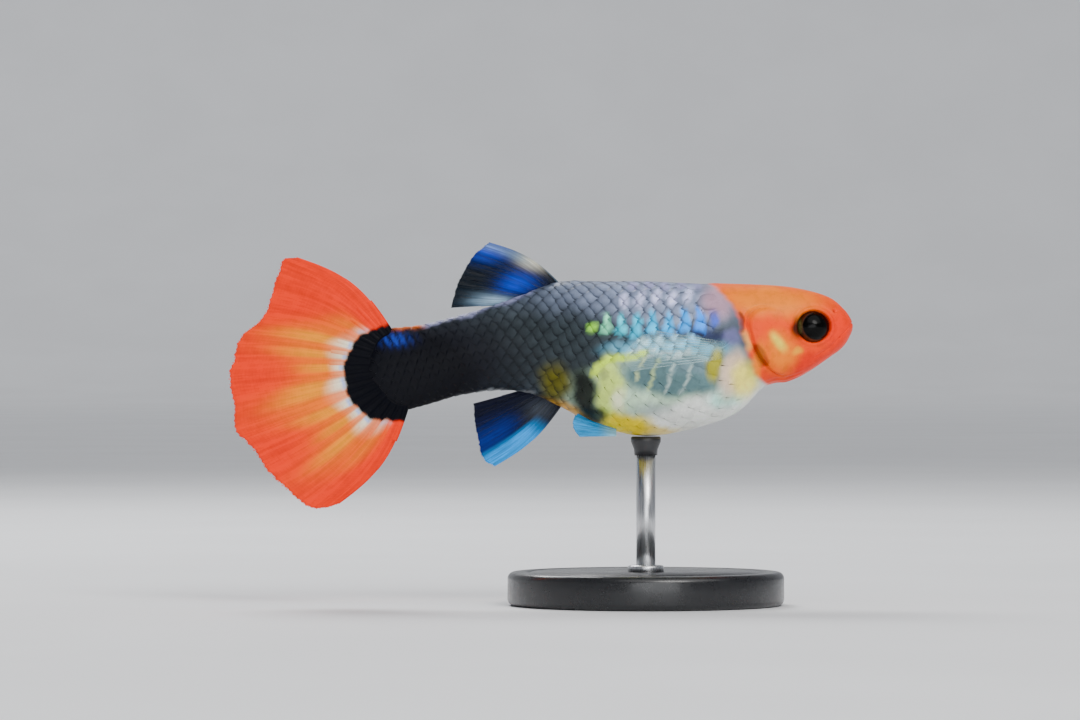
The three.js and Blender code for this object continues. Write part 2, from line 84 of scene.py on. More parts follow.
def linear(colour: Colour) -> Array:
    """Turn a screen colour of 0 to 255 into linear light.

    Args:
        colour: Red, green and blue as seen on screen.

    Returns:
        Three linear values from 0 to 1.
    """
    share = np.asarray(colour, dtype=float) / 255
    return np.where(share <= 0.04045, share / 12.92, ((share + 0.055) / 1.055) ** 2.4)


def smooth(low: float, high: float, value: Array) -> Array:
    """Rise softly from 0 at low to 1 at high.

    Args:
        low: Where the rise starts.
        high: Where the rise ends.
        value: Numbers to map.

    Returns:
        Numbers from 0 to 1.
    """
    share = np.clip((np.asarray(value, dtype=float) - low) / (high - low), 0, 1)
    return share * share * (3 - 2 * share)


def bell(distance: Array, width: float) -> Array:
    """Return a bell of height 1 and the given width over a distance."""
    return np.exp(-((distance / width) ** 2))


def lay(colour: Array, layers: tuple[tuple[Array, Array], ...]) -> Array:
    """Lay tones over colours in order.

    Args:
        colour: One colour, or colours so far, one a row.
        layers: Each tone with how strongly it covers each row.

    Returns:
        The new colours, one a row.
    """
    for tone, cover in layers:
        share = np.asarray(cover)[:, None]
        colour = colour * (1 - share) + tone * share
    return colour


def with_alpha(colour: Array, alpha: Array | float = 1.0) -> Array:
    """Return colours with an alpha value at the end of each row."""
    return np.column_stack([colour, np.broadcast_to(alpha, len(colour))])


def path_distance(points: Array, path: Array) -> Array:
    """Measure how far points are from a path of straight stretches.

    Args:
        points: Places, one a row.
        path: Corners of the path, one a row.

    Returns:
        The distance of each place from the path.
    """
    best = np.full(len(points), np.inf)
    for start, end in zip(path[:-1], path[1:]):
        stretch = end - start
        share = np.clip((points - start) @ stretch / (stretch @ stretch), 0, 1)
        gap = np.linalg.norm(points - start - share[:, None] * stretch, axis=1)
        best = np.minimum(best, gap)
    return best


def travelled(points: Array) -> Array:
    """Return the length of a path up to each of its points."""
    return np.concatenate([[0], np.cumsum(np.linalg.norm(np.diff(points, axis=0), axis=1))])


def cubic(rows: Array, share: Array) -> Array:
    """Blend four neighbouring rows with a Catmull-Rom curve.

    Args:
        rows: Four arrays of values, before, start, end and after.
        share: How far along from start to end.

    Returns:
        The blended values.
    """
    before, start, end, after = rows
    return 0.5 * (
        2 * start
        + (end - before) * share
        + (2 * before - 5 * start + 4 * end - after) * share**2
        + (3 * start - before - 3 * end + after) * share**3
    )


class Curve:
    """A smooth curve through points, measured by its length."""

    def __init__(self, points: list[Pair]) -> None:
        """Sample the curve finely.

        Args:
            points: Places that the curve passes through.
        """
        spots = np.asarray(points, dtype=float)
        ends = np.vstack([2 * spots[0] - spots[1], spots, 2 * spots[-1] - spots[-2]])
        steps = np.linspace(0, len(spots) - 1, 60 * len(spots))
        index = np.minimum(steps.astype(int), len(spots) - 2)
        share = (steps - index)[:, None]
        self.line = cubic(np.array([ends[index + step] for step in range(4)]), share)
        self.length = travelled(self.line)

    def at(self, share: Array) -> Array:
        """Return the places at shares of the curve's length."""
        goal = np.asarray(share) * self.length[-1]
        axes = [np.interp(goal, self.length, self.line[:, axis]) for axis in range(self.line.shape[1])]
        return np.stack(axes, axis=-1)


# Body form


@dataclass(frozen=True)
class Section:
    """A cross-section of the body, from a point on the back to a point on the belly (X, Z)."""

    back: Pair
    belly: Pair
    half: float
    level: float
    full: float

    def row(self) -> list[float]:
        """Return the section's sizes as one row of numbers."""
        return [*self.back, *self.belly, self.half, self.level, self.full]


@dataclass(frozen=True)
class BodyForm:
    """The body's surface as a function of a place along it and a turn round it.

    A turn of 0 is the left flank, a quarter the back, a half the right flank, three quarters the
    belly, in radians.
    """

    sections: tuple[Section, ...] = (
        Section((26.0, 23.3), (26.0, 23.3), 0, 0.5, 1),
        Section((25.74, 24.0), (25.83, 22.52), 0.95, 0.5, 1),
        Section((25.2, 24.7), (25.15, 21.45), 1.65, 0.52, 0.95),
        Section((24.1, 25.58), (23.9, 20.5), 2.25, 0.55, 0.9),
        Section((22.2, 26.2), (22.1, 19.3), 2.75, 0.58, 0.86),
        Section((19.5, 26.6), (20.6, 18.65), 3.2, 0.54, 0.86),
        Section((14.3, 26.8), (18.8, 18.2), 3.75, 0.5, 0.88),
        Section((12.4, 26.9), (15.8, 15.6), 4.3, 0.46, 0.9),
        Section((9.1, 27.0), (9.5, 14.0), 4.75, 0.42, 0.92),
        Section((5.0, 27.0), (4.8, 14.8), 4.2, 0.43, 0.94),
        Section((1.7, 27.0), (1.9, 16.3), 3.1, 0.48, 0.96),
        Section((-1.0, 26.1), (-0.7, 17.5), 2.35, 0.52, 0.98),
        Section((-3.7, 25.1), (-3.3, 17.8), 1.95, 0.52, 1),
        Section((-7.1, 24.1), (-6.5, 17.4), 1.55, 0.52, 1),
        Section((-10.0, 23.4), (-8.7, 16.8), 1.2, 0.5, 1),
        Section((-12.5, 23.1), (-11.0, 16.2), 0.85, 0.5, 1),
        Section((-13.5, 22.5), (-12.0, 16.4), 0.7, 0.5, 1),
        Section((-14.1, 21.6), (-12.9, 17.1), 0.58, 0.5, 1),
        Section((-14.5, 20.5), (-13.9, 18.3), 0.42, 0.5, 1),
        Section((-15.0, 19.9), (-14.8, 18.9), 0.2, 0.5, 1),
    )
    tail_root: int = 15

    @property
    def last(self) -> float:
        """The place of the last section."""
        return float(len(self.sections) - 1)

    def values(self, place: Array) -> Array:
        """Blend the sections' sizes at places along the body.

        Args:
            place: Places from 0, the snout tip, to the last section.

        Returns:
            One row of sizes for each place.
        """
        rows = np.array([section.row() for section in self.sections])
        lips = rows[1]
        mirrored = np.array([lips[2], lips[3], lips[0], lips[1], -lips[4], lips[5], lips[6]])
        padded = np.vstack([mirrored, rows, rows[-1]])
        place = np.clip(np.asarray(place, dtype=float), 0, self.last)
        index = np.minimum(place.astype(int), len(rows) - 2)
        share = (place - index)[..., None]
        return cubic(np.array([padded[index + step] for step in range(4)]), share)

    def point(self, place: Array, turn: Array) -> Array:
        """Return the surface's places.

        Args:
            place: Places along the body.
            turn: Turns round the body.

        Returns:
            X, Y and Z on the last axis.
        """
        place, turn = np.broadcast_arrays(place, turn)
        sizes = self.values(place)
        half, level, full = sizes[..., 4], sizes[..., 5], sizes[..., 6]
        sideways, upwards = np.cos(turn), np.sin(turn)
        share = np.where(upwards > 0, 1 - level, level)
        height = level + share * np.sign(upwards) * np.abs(upwards) ** full
        y = half * np.sign(sideways) * np.abs(sideways) ** full
        x = sizes[..., 2] + (sizes[..., 0] - sizes[..., 2]) * height
        z = sizes[..., 3] + (sizes[..., 1] - sizes[..., 3]) * height
        return np.stack([x, y, z], axis=-1)

    def normal(self, place: Array, turn: Array) -> Array:
        """Return the surface's outward normals at places and turns."""
        step = 0.01
        ahead = np.clip(np.asarray(place, dtype=float) - step, 0.001, self.last)
        along = self.point(ahead, turn) - self.point(ahead + 2 * step, turn)
        around = self.point(place, turn + step) - self.point(place, turn - step)
        cross = np.cross(around, along)
        return cross / np.maximum(np.linalg.norm(cross, axis=-1, keepdims=True), 1e-9)

    def outline_height(self, x: Array, back: bool) -> Array:
        """Return the height of the back's or the belly's outline at X.

        Args:
            x: Places along X.
            back: True for the back, False for the belly.

        Returns:
            Heights Z.
        """
        column = 0 if back else 2
        sizes = self.values(np.linspace(0, self.tail_root, 1500))
        order = np.argsort(sizes[:, column])
        return np.interp(x, sizes[order, column], sizes[order, column + 1])

    def flank(self, x: float, z: float) -> Array:
        """Find the right flank's point that shows at (X, Z) from the side.

        Args:
            x: Place along X.
            z: Height.

        Returns:
            The point.
        """
        place, turn = np.meshgrid(
            np.linspace(0.05, self.last - 1, 1200), np.linspace(0.51, 1.49, 240) * math.pi, indexing="ij"
        )
        points = self.point(place, turn)
        nearest = np.argmin((points[..., 0] - x) ** 2 + (points[..., 2] - z) ** 2)
        return points.reshape(-1, 3)[nearest]


BODY = BodyForm()


# Markings


@dataclass(frozen=True)
class Patch:
    """A soft oval of colour seen from the side, the same on both flanks."""

    colour: Colour
    centre: Pair
    radii: Pair
    strength: float = 1.0
    soft: float = 0.5
    tilt: float = 0.0

    def mask(self, x: Array, z: Array) -> Array:
        """Return how strongly the patch covers places seen from the side."""
        turn = math.radians(self.tilt)
        across, up = x - self.centre[0], z - self.centre[1]
        along = across * math.cos(turn) + up * math.sin(turn)
        aside = up * math.cos(turn) - across * math.sin(turn)
        reach = np.sqrt((along / self.radii[0]) ** 2 + (aside / self.radii[1]) ** 2)
        return self.strength * (1 - smooth(1 - self.soft, 1 + self.soft, reach))


@dataclass(frozen=True)
class Stroke:
    """A soft line of colour through points seen from the side."""

    colour: Colour
    path: Path
    width: float
    strength: float = 1.0

    def mask(self, x: Array, z: Array) -> Array:
        """Return how strongly the stroke covers places seen from the side."""
        gap = path_distance(np.stack([x, z], axis=1), np.asarray(self.path))
        return self.strength * (1 - smooth(0.4 * self.width, self.width, gap))


@dataclass(frozen=True)
class SpotRow:
    """A row of like spots along the flank."""

    colour: Colour
    start: Pair
    end: Pair
    count: int
    radii: Pair
    strength: float = 1.0

    def mask(self, x: Array, z: Array) -> Array:
        """Return how strongly the spots cover places seen from the side."""
        total = np.zeros_like(x)
        for index in range(self.count):
            share = index / (self.count - 1)
            centre = tuple(a + (b - a) * share for a, b in zip(self.start, self.end))
            spot = Patch(self.colour, centre, self.radii, self.strength, 0.45)
            total = np.maximum(total, spot.mask(x, z))
        return total


@dataclass(frozen=True)
class WedgeRow:
    """A row of upright wedges along the flank, wide below, whose colour changes along the row."""

    colour: Colour
    last_colour: Colour
    start: Pair
    end: Pair
    count: int
    height: float
    width: float
    strength: float = 1.0

    def layer(self, tint: Array, x: Array, z: Array) -> Array:
        """Lay the wedges over colours.

        Args:
            tint: Colours so far, one a row.
            x: Places along X.
            z: Heights.

        Returns:
            The new colours.
        """
        for index in range(self.count):
            share = index / (self.count - 1)
            foot_x, foot_z = (a + (b - a) * share for a, b in zip(self.start, self.end))
            climb = (z - foot_z) / self.height
            half = 0.5 * self.width * (1 - 0.75 * np.clip(climb, 0, 1))
            inside = 1 - smooth(0.7 * half, 1.2 * half, np.abs(x - foot_x + 0.12 * climb))
            mask = inside * smooth(-0.25, 0.1, climb) * (1 - smooth(0.7, 1.05, climb))
            colour = linear(self.colour) * (1 - share) + linear(self.last_colour) * share
            tint = lay(tint, ((colour, self.strength * mask),))
        return tint


@dataclass(frozen=True)
class Livery:
    """The fish's colours as a function of place, shared by skin, scales and fins."""

    orange: Colour = (255, 70, 0)
    slate: Colour = (76, 86, 96)
    night: Colour = (3, 4, 12)
    glint: Colour = (36, 70, 200)
    glint_hub: Pair = (-12.0, 22.1)
    head_edge: Path = (
        (19.0, 18.2), (17.9, 19.0), (17.2, 21.0), (16.75, 22.5), (16.4, 24.1), (15.3, 25.7), (13.9, 26.9),
    )
    spot_hub: Pair = (-12.9, 19.25)
    spot_radii: Pair = (3.45, 3.95)
    flank: tuple[Patch | Stroke | SpotRow | WedgeRow, ...] = (
        Patch((128, 140, 168), (8.9, 25.5), (9.0, 2.2), 0.8, 0.5),
        Patch((34, 40, 42), (-0.6, 21.3), (7.5, 4.2), 0.88, 0.6),
        Patch((12, 13, 22), (-8.6, 19.7), (6.6, 5.0), 0.96, 0.5),
        Stroke((150, 152, 190), ((-9.8, 23.6), (-7.1, 24.2), (-3.7, 25.2), (-1.0, 26.2)), 0.6, 0.8),
        Patch((48, 56, 60), (3.4, 22.0), (2.6, 2.4), 0.7, 0.6),
        Patch((110, 190, 220), (10.8, 21.2), (5.0, 0.9), 0.9, 0.4),
        Patch((206, 240, 204), (10.5, 17.0), (7.8, 3.6), 0.95, 0.25),
        Patch((150, 160, 168), (10.8, 15.9), (3.4, 1.0), 0.75, 0.6),
        Patch((252, 255, 248), (13.2, 15.9), (6.8, 1.5), 0.95, 0.4, 22),
        Patch((252, 252, 236), (9.0, 14.2), (5.0, 0.7), 0.9, 0.5),
        Patch((140, 232, 214), (15.4, 17.3), (1.3, 0.8), 0.8, 0.6),
        Patch((70, 104, 116), (11.0, 19.1), (4.4, 1.75), 0.92, 0.25, -2),
        Patch((120, 146, 156), (12.8, 20.0), (1.8, 0.7), 0.6, 0.6),
        Stroke((214, 232, 170), ((8.55, 20.5), (7.9, 18.9)), 0.19, 0.8),
        Stroke((190, 214, 150), ((9.8, 20.4), (9.3, 19.0), (8.75, 17.8)), 0.17, 0.75),
        Stroke((190, 212, 206), ((11.1, 20.2), (10.7, 19.0), (10.2, 17.8)), 0.15, 0.7),
        Stroke((190, 212, 206), ((12.6, 19.7), (12.1, 18.7), (11.5, 17.7)), 0.15, 0.65),
        Stroke((210, 226, 226), ((7.4, 21.3), (9.4, 21.1), (12.2, 21.0)), 0.16, 0.7),
        Stroke((210, 226, 226), ((8.6, 20.7), (10.6, 20.7), (12.8, 20.9)), 0.14, 0.6),
        Patch((238, 206, 178), (15.9, 19.1), (1.1, 2.0), 0.9, 0.45, -12),
        Patch((250, 236, 90), (16.9, 18.8), (1.1, 1.5), 0.85, 0.5, -14),
        Patch((170, 162, 16), (14.4, 20.1), (0.62, 1.35), 0.92, 0.35, -6),
        Patch((214, 240, 110), (5.8, 17.6), (1.15, 2.9), 0.95, 0.3, 4),
        Patch((120, 128, 96), (5.3, 19.2), (0.4, 0.5), 0.6, 0.5),
        Patch((250, 250, 226), (6.5, 17.0), (0.5, 1.0), 0.7, 0.6),
        Stroke((206, 240, 60), ((4.6, 19.4), (5.0, 20.0), (6.4, 20.6), (8.5, 20.9)), 0.46, 0.95),
        Patch((255, 226, 0), (7.1, 14.85), (2.2, 1.05), 1.0, 0.4, -6),
        Patch((250, 214, 40), (9.8, 14.5), (1.6, 0.4), 0.7, 0.5),
        Patch((88, 84, 0), (1.3, 18.4), (1.2, 1.6), 0.88, 0.55, 10),
        Patch((210, 150, 20), (3.0, 15.9), (2.4, 0.5), 0.85, 0.5, -27),
        Patch((5, 5, 6), (3.7, 17.7), (1.05, 2.0), 0.97, 0.35, 8),
        Patch((5, 5, 6), (4.6, 15.9), (0.9, 0.7), 0.9, 0.5, -24),
        Patch((196, 150, 168), (14.8, 25.4), (1.3, 1.5), 0.75, 0.5),
        Patch((22, 30, 66), (14.0, 22.5), (1.9, 0.5), 0.85, 0.5, -10),
        Patch((120, 118, 176), (15.9, 22.2), (0.7, 0.7), 0.6, 0.5),
        SpotRow((204, 208, 250), (7.0, 25.4), (12.3, 25.7), 5, (0.34, 0.62), 0.95),
        SpotRow((150, 146, 196), (7.6, 26.6), (12.9, 26.6), 5, (0.4, 0.4), 0.6),
        WedgeRow((130, 240, 190), (40, 206, 230), (5.45, 22.7), (6.7, 22.7), 2, 1.7, 0.95, 0.95),
        WedgeRow((14, 196, 238), (2, 128, 240), (8.0, 22.5), (13.2, 22.95), 5, 2.0, 1.1, 1.0),
        Patch((20, 70, 190), (14.3, 23.9), (0.4, 0.7), 0.8, 0.5),
        WedgeRow((190, 232, 240), (130, 200, 240), (8.6, 21.5), (12.6, 21.7), 4, 0.9, 1.1, 0.8),
        Patch((150, 226, 60), (4.3, 23.2), (0.4, 0.4), 0.95, 0.5),
        Stroke((128, 132, 136), (
            (-11.0, 16.1), (-8.6, 16.75), (-6.5, 17.35), (-3.4, 17.75), (-0.7, 17.5),
        ), 0.34, 0.9),
        Patch((255, 120, 10), (-11.6, 23.25), (1.6, 0.4), 0.95, 0.5),
    )
    face: tuple[Patch | Stroke | SpotRow | WedgeRow, ...] = (
        Patch((20, 10, 4), (21.45, 23.25), (0.7, 1.0), 0.95, 0.4),
        Patch((255, 136, 0), (18.8, 25.4), (4.4, 1.3), 0.9, 0.6, -4),
        Patch((250, 44, 0), (24.9, 22.3), (1.6, 2.4), 0.95, 0.6, 20),
        Patch((244, 36, 0), (21.8, 19.9), (2.9, 0.9), 0.9, 0.6, 22),
        Patch((255, 140, 0), (19.9, 21.0), (1.3, 1.6), 0.75, 0.6),
        # Painted highlights: the next two patches are a pale yellow gleam on the shiny gill cover and a
        # fainter gleam on the cheek ahead of it.
        Patch((255, 226, 70), (19.7, 21.9), (0.42, 0.7), 0.9, 0.8, 32),
        Patch((255, 190, 30), (21.2, 21.2), (0.4, 0.3), 0.6, 0.6),
        Patch((255, 140, 4), (17.9, 20.0), (0.5, 1.8), 0.8, 0.5, -10),
        # Painted shadow: a dark streak in the gill opening under the rear edge of the gill cover.
        Stroke((96, 26, 24), ((17.75, 21.5), (18.1, 20.8), (18.6, 20.1)), 0.5, 0.6),
        Stroke((110, 40, 10), ((16.5, 24.2), (16.7, 22.9)), 0.26, 0.75),
        Patch((255, 190, 90), (17.0, 22.0), (0.45, 0.8), 0.75, 0.5),
    )

    def _layer(self, tint: Array, marks: tuple, x: Array, z: Array) -> Array:
        """Lay marks over a ground colour in order.

        Args:
            tint: The ground colour.
            marks: Marks to lay over it.
            x: Places along X.
            z: Heights.

        Returns:
            The new colours.
        """
        for mark in marks:
            if isinstance(mark, WedgeRow):
                tint = mark.layer(tint, x, z)
            else:
                tint = lay(tint, ((linear(mark.colour), mark.mask(x, z)),))
        return tint

    def head_share(self, x: Array, z: Array, soft: float = 0.34) -> Array:
        """Return 1 on the orange head and 0 on the body, with an edge of the given softness."""
        edge = np.asarray(self.head_edge)
        limit = np.interp(z, edge[:, 1], edge[:, 0])
        wave = 0.07 * np.sin(4.1 * z) + 0.04 * np.sin(9.3 * z + 1)
        return smooth(-soft, soft, x - limit - wave)

    def spot_reach(self, x: Array, z: Array) -> Array:
        """Return how far out of the black tail spot a place lies, 1 at its edge."""
        across = (x - self.spot_hub[0]) / self.spot_radii[0]
        up = (z - self.spot_hub[1]) / self.spot_radii[1]
        angle = np.arctan2(up, across)
        ragged = 1 + 0.02 * np.sin(9 * angle) + 0.012 * np.sin(23 * angle + 2)
        return np.sqrt(np.where(across < 0, across, 0.45 * across) ** 2 + up**2) / ragged

    def body(self, points: Array) -> Array:
        """Colour places on the body.

        Args:
            points: Places, one a row.

        Returns:
            Linear red, green, blue and alpha, one a row.
        """
        x, z = points[:, 0], points[:, 2]
        warped_x = x + 0.12 * np.sin(2.3 * z + 0.4) + 0.035 * np.sin(5.9 * z + 2.0 * x)
        warped_z = z + 0.12 * np.sin(1.9 * x) + 0.05 * np.sin(6.3 * x + z)
        sparkle = 0.5 + 0.5 * np.sin(9 * x + 5 * z)
        glint_x, glint_z = self.glint_hub
        return with_alpha(lay(self._layer(linear(self.slate), self.flank, warped_x, warped_z), (
            (linear(self.night), 1 - smooth(0.86, 1.12, self.spot_reach(x, z))),
            (linear(self.glint), 0.9 * bell(x - glint_x, 1.1) * bell(z - glint_z, 0.5) * sparkle),
            (self._layer(linear(self.orange), self.face, warped_x, warped_z), self.head_share(x, z)),
        )))

    def net_and_sheen_strength(self, points: Array) -> Array:
        """Return how strongly the scales' dark edges and the painted sheen of their middles are drawn at
        places on the body.
        """
        x, z = points[:, 0], points[:, 2]
        belly = smooth(21.6, 19.4, z) * smooth(1.0, 4.5, x)
        dark = smooth(1.0, -8.0, x)
        neck = self.head_share(x + 2.1, z, 1.0)
        return np.clip(0.85 - 0.8 * belly - 0.7 * dark - 0.7 * neck, 0.02, 1)


LIVERY = Livery()


# Node helpers


class Graph:
    """Adds nodes to a tree and links them."""

    def __init__(self, tree: bpy.types.NodeTree) -> None:
        """Keep a shader or geometry tree."""
        self.tree = tree

    def add(self, kind: str, inputs: dict | None = None, **settings: object) -> bpy.types.Node:
        """Add a node.

        Args:
            kind: The node's type.
            inputs: Values or sockets for its inputs, by name or number.
            **settings: Settings of the node itself.

        Returns:
            The new node.
        """
        node = self.tree.nodes.new(kind)
        for name, value in settings.items():
            setattr(node, name, value)
        self.feed(node, inputs or {})
        return node

    def feed(self, node: bpy.types.Node, inputs: dict) -> None:
        """Set or link a node's inputs.

        Args:
            node: The node.
            inputs: Values or sockets by input name or number.
        """
        for key, value in inputs.items():
            if isinstance(value, bpy.types.NodeSocket):
                self.tree.links.new(value, node.inputs[key])
            else:
                node.inputs[key].default_value = value

    def math(self, operation: str, *values: object) -> bpy.types.NodeSocket:
        """Return the result of a maths node of the shader tree."""
        return self.add("ShaderNodeMath", dict(enumerate(values)), operation=operation).outputs[0]

    def mix(self, share: object, first: object, second: object) -> bpy.types.NodeSocket:
        """Return two colours mixed by the second one's share."""
        return self.add("ShaderNodeMix", {0: share, 6: first, 7: second}, data_type="RGBA").outputs[2]

    def spread(
        self, value: object, low: float, high: float, to_low: float, to_high: float
    ) -> bpy.types.NodeSocket:
        """Map a number from one range to another, softly and without passing its ends."""
        inputs = {0: value, 1: low, 2: high, 3: to_low, 4: to_high}
        return self.add("ShaderNodeMapRange", inputs, interpolation_type="SMOOTHSTEP").outputs[0]

    def pigment(self, colour: object, scale: float, amount: float, specks: float) -> bpy.types.Node:
        """Return the mottle group's node over a colour."""
        return self.group(MOTTLE, {"Color": colour, "Scale": scale, "Amount": amount, "Specks": specks})

    def bump(self, height: bpy.types.NodeSocket, strength: float, depth: float) -> bpy.types.NodeSocket:
        """Return a normal that follows a height, of the given depth in millimetres."""
        inputs = {"Strength": strength, "Distance": depth * MM, "Height": height}
        return self.add("ShaderNodeBump", inputs).outputs[0]

    def gloss(self, pigment: bpy.types.Node, low: float, high: float) -> bpy.types.NodeSocket:
        """Return a roughness from low to high that follows the pigment's blotches and specks."""
        return self.spread(pigment.outputs["Height"], 0.7, 1.3, low, high)

    def attribute(self, name: str) -> bpy.types.Node:
        """Return a node that reads the piece's own attribute."""
        return self.add("ShaderNodeAttribute", attribute_name=name)

    def group(self, tree: bpy.types.NodeTree, inputs: dict) -> bpy.types.Node:
        """Place a node group with values or sockets for its inputs."""
        return self.add("ShaderNodeGroup", inputs, node_tree=tree)


def shader_group(name: str, inputs: dict[str, tuple], outputs: dict[str, str]) -> tuple[Graph, dict, dict]:
    """Start a shader node group.

    Args:
        name: The group's name.
        inputs: Socket name to its type and default value.
        outputs: Socket name to its type.

    Returns:
        The graph, the group's input sockets and its output sockets.
    """
    tree = bpy.data.node_groups.new(name, "ShaderNodeTree")
    for label, (kind, value) in inputs.items():
        socket = tree.interface.new_socket(label, in_out="INPUT", socket_type=kind)
        socket.default_value = value
    for label, kind in outputs.items():
        tree.interface.new_socket(label, in_out="OUTPUT", socket_type=kind)
    graph = Graph(tree)
    source = graph.add("NodeGroupInput")
    target = graph.add("NodeGroupOutput")
    return graph, dict(source.outputs.items()), dict(target.inputs.items())


FLOAT, RGBA = "NodeSocketFloat", "NodeSocketColor"
GREY = (0.5, 0.5, 0.5, 1.0)


def make_mottle_group() -> bpy.types.NodeTree:
    """Make the group that varies a colour with soft blotches and fine specks of pigment."""
    graph, source, target = shader_group(
        "pigment_mottle",
        {"Color": (RGBA, GREY), "Scale": (FLOAT, 1.0), "Amount": (FLOAT, 0.2), "Specks": (FLOAT, 0.2)},
        {"Color": RGBA, "Height": FLOAT},
    )
    place = graph.add("ShaderNodeTexCoord").outputs["Object"]
    in_mm = graph.add("ShaderNodeVectorMath", {0: place, 3: 1 / MM}, operation="SCALE").outputs[0]
    blotches = graph.add("ShaderNodeTexNoise", {"Vector": in_mm, "Scale": source["Scale"], "Detail": 4.0})
    fine_scale = graph.math("MULTIPLY", source["Scale"], 9.0)
    specks = graph.add("ShaderNodeTexNoise", {"Vector": in_mm, "Scale": fine_scale, "Detail": 2.0})
    light = graph.spread(blotches.outputs[0], 0.3, 0.7, -1.0, 1.0)
    dark = graph.spread(specks.outputs[0], 0.56, 0.7, 0.0, 1.0)
    lift = graph.math("MULTIPLY", light, source["Amount"])
    drop = graph.math("MULTIPLY", dark, source["Specks"])
    value = graph.math("ADD", 1.0, graph.math("SUBTRACT", lift, drop))
    varied = graph.add("ShaderNodeHueSaturation", {"Color": source["Color"], "Value": value})
    graph.tree.links.new(varied.outputs[0], target["Color"])
    graph.tree.links.new(graph.math("ADD", blotches.outputs[0], specks.outputs[0]), target["Height"])
    return graph.tree


def make_ray_group() -> bpy.types.NodeTree:
    """Make the group that draws fine lines along a fin's rays from its across and along map."""
    graph, source, target = shader_group(
        "ray_lines",
        {"Across": (FLOAT, 0.0), "Along": (FLOAT, 0.0), "Lines": (FLOAT, 40.0), "Sharpness": (FLOAT, 3.0)},
        {"Lines": FLOAT, "Joints": FLOAT},
    )
    across = graph.math("MULTIPLY", source["Across"], source["Lines"])
    along = graph.math("MULTIPLY", source["Along"], 1.6)
    place = graph.add("ShaderNodeCombineXYZ", {0: across, 1: along}).outputs[0]
    streaks = graph.add(
        "ShaderNodeTexNoise", {"Vector": place, "Scale": 1.0, "Detail": 3.0, "Roughness": 0.6}
    )
    ridge = graph.math("POWER", graph.spread(streaks.outputs[0], 0.3, 0.7, 0.0, 1.0), source["Sharpness"])
    steps = graph.math("SINE", graph.math("MULTIPLY", source["Along"], 260.0))
    joints = graph.spread(steps, 0.6, 0.95, 0.0, 1.0)
    graph.tree.links.new(ridge, target["Lines"])
    graph.tree.links.new(joints, target["Joints"])
    return graph.tree


MOTTLE, RAY_LINES = make_mottle_group(), make_ray_group()


# Finishes


def new_material(name: str) -> tuple[bpy.types.Material, Graph, bpy.types.Node]:
    """Start a material.

    Args:
        name: The material's name.

    Returns:
        The material, its graph and its Principled shader.
    """
    material = bpy.data.materials.new(name)
    material.use_nodes = True
    graph = Graph(material.node_tree)
    shader = next(node for node in material.node_tree.nodes if node.type == "BSDF_PRINCIPLED")
    return material, graph, shader


@dataclass(frozen=True)
class WetSkin:
    """Glossy wet skin, coloured by the piece's tint attribute and mottled with pigment."""

    name: str = "wet_skin"
    roughness: float = 0.42
    mottle: float = 0.08
    specks: float = 0.1
    coat: float = 0.03

    def material(self) -> bpy.types.Material:
        """Build the material."""
        material, graph, shader = new_material(self.name)
        tint = graph.attribute("tint").outputs["Color"]
        pigment = graph.pigment(tint, 1.6, self.mottle, self.specks)
        graph.feed(shader, {
            "Base Color": pigment.outputs["Color"],
            "Roughness": graph.gloss(pigment, self.roughness - 0.08, self.roughness + 0.1),
            "Normal": graph.bump(pigment.outputs["Height"], 0.25, 0.03),
            "Specular IOR Level": 0.1,
            "Coat Weight": self.coat,
            "Coat Roughness": 0.12,
        })
        return material


@dataclass(frozen=True)
class ScalePlate:
    """A thin horny scale with growth rings, a painted sheen that lightens its middle, and a dark free edge.
    """

    name: str = "scale_plate"
    edge_dark: Colour = (10, 12, 18)
    middle_painted_sheen: float = 0.6

    def material(self) -> bpy.types.Material:
        """Build the material."""
        material, graph, shader = new_material(self.name)
        tint = graph.attribute("tint").outputs["Color"]
        net = graph.attribute("net").outputs["Fac"]
        plate = graph.add("ShaderNodeSeparateXYZ", {0: graph.attribute("plate").outputs["Vector"]})
        across, along = plate.outputs[0], plate.outputs[1]
        reach = graph.math("SQRT", graph.math(
            "ADD", graph.math("POWER", graph.math("ABSOLUTE", across), 2.0),
            graph.math("POWER", graph.math("MAXIMUM", along, 0.0), 2.0),
        ))
        rim = graph.math("MULTIPLY", graph.spread(reach, 0.62, 0.98, 0.0, 1.0), net)
        rings = graph.math("SINE", graph.math("MULTIPLY", reach, 42.0))
        pigment = graph.pigment(tint, 2.2, 0.08, 0.2)
        # Painted sheen: lighten the middle of each scale, fading to nothing towards its rim, as strongly as
        # the attribute read above allows.
        lift = graph.math("MULTIPLY", graph.spread(reach, 0.0, 0.8, self.middle_painted_sheen, 0.0), net)
        pale = graph.add("ShaderNodeHueSaturation", {
            "Color": pigment.outputs["Color"], "Value": graph.math("ADD", lift, 1.0),
        }).outputs[0]
        colour = graph.mix(graph.math("MULTIPLY", rim, 0.82), pale, (*linear(self.edge_dark), 1))
        graph.feed(shader, {
            "Base Color": colour,
            "Metallic": graph.math("MULTIPLY", graph.spread(reach, 0.2, 0.9, 0.2, 0.05), net),
            "Roughness": graph.gloss(pigment, 0.34, 0.5),
            "Normal": graph.bump(rings, 0.22, 0.012),
            "Specular IOR Level": 0.12,
            "Coat Weight": 0.03,
            "Coat Roughness": 0.18,
        })
        return material


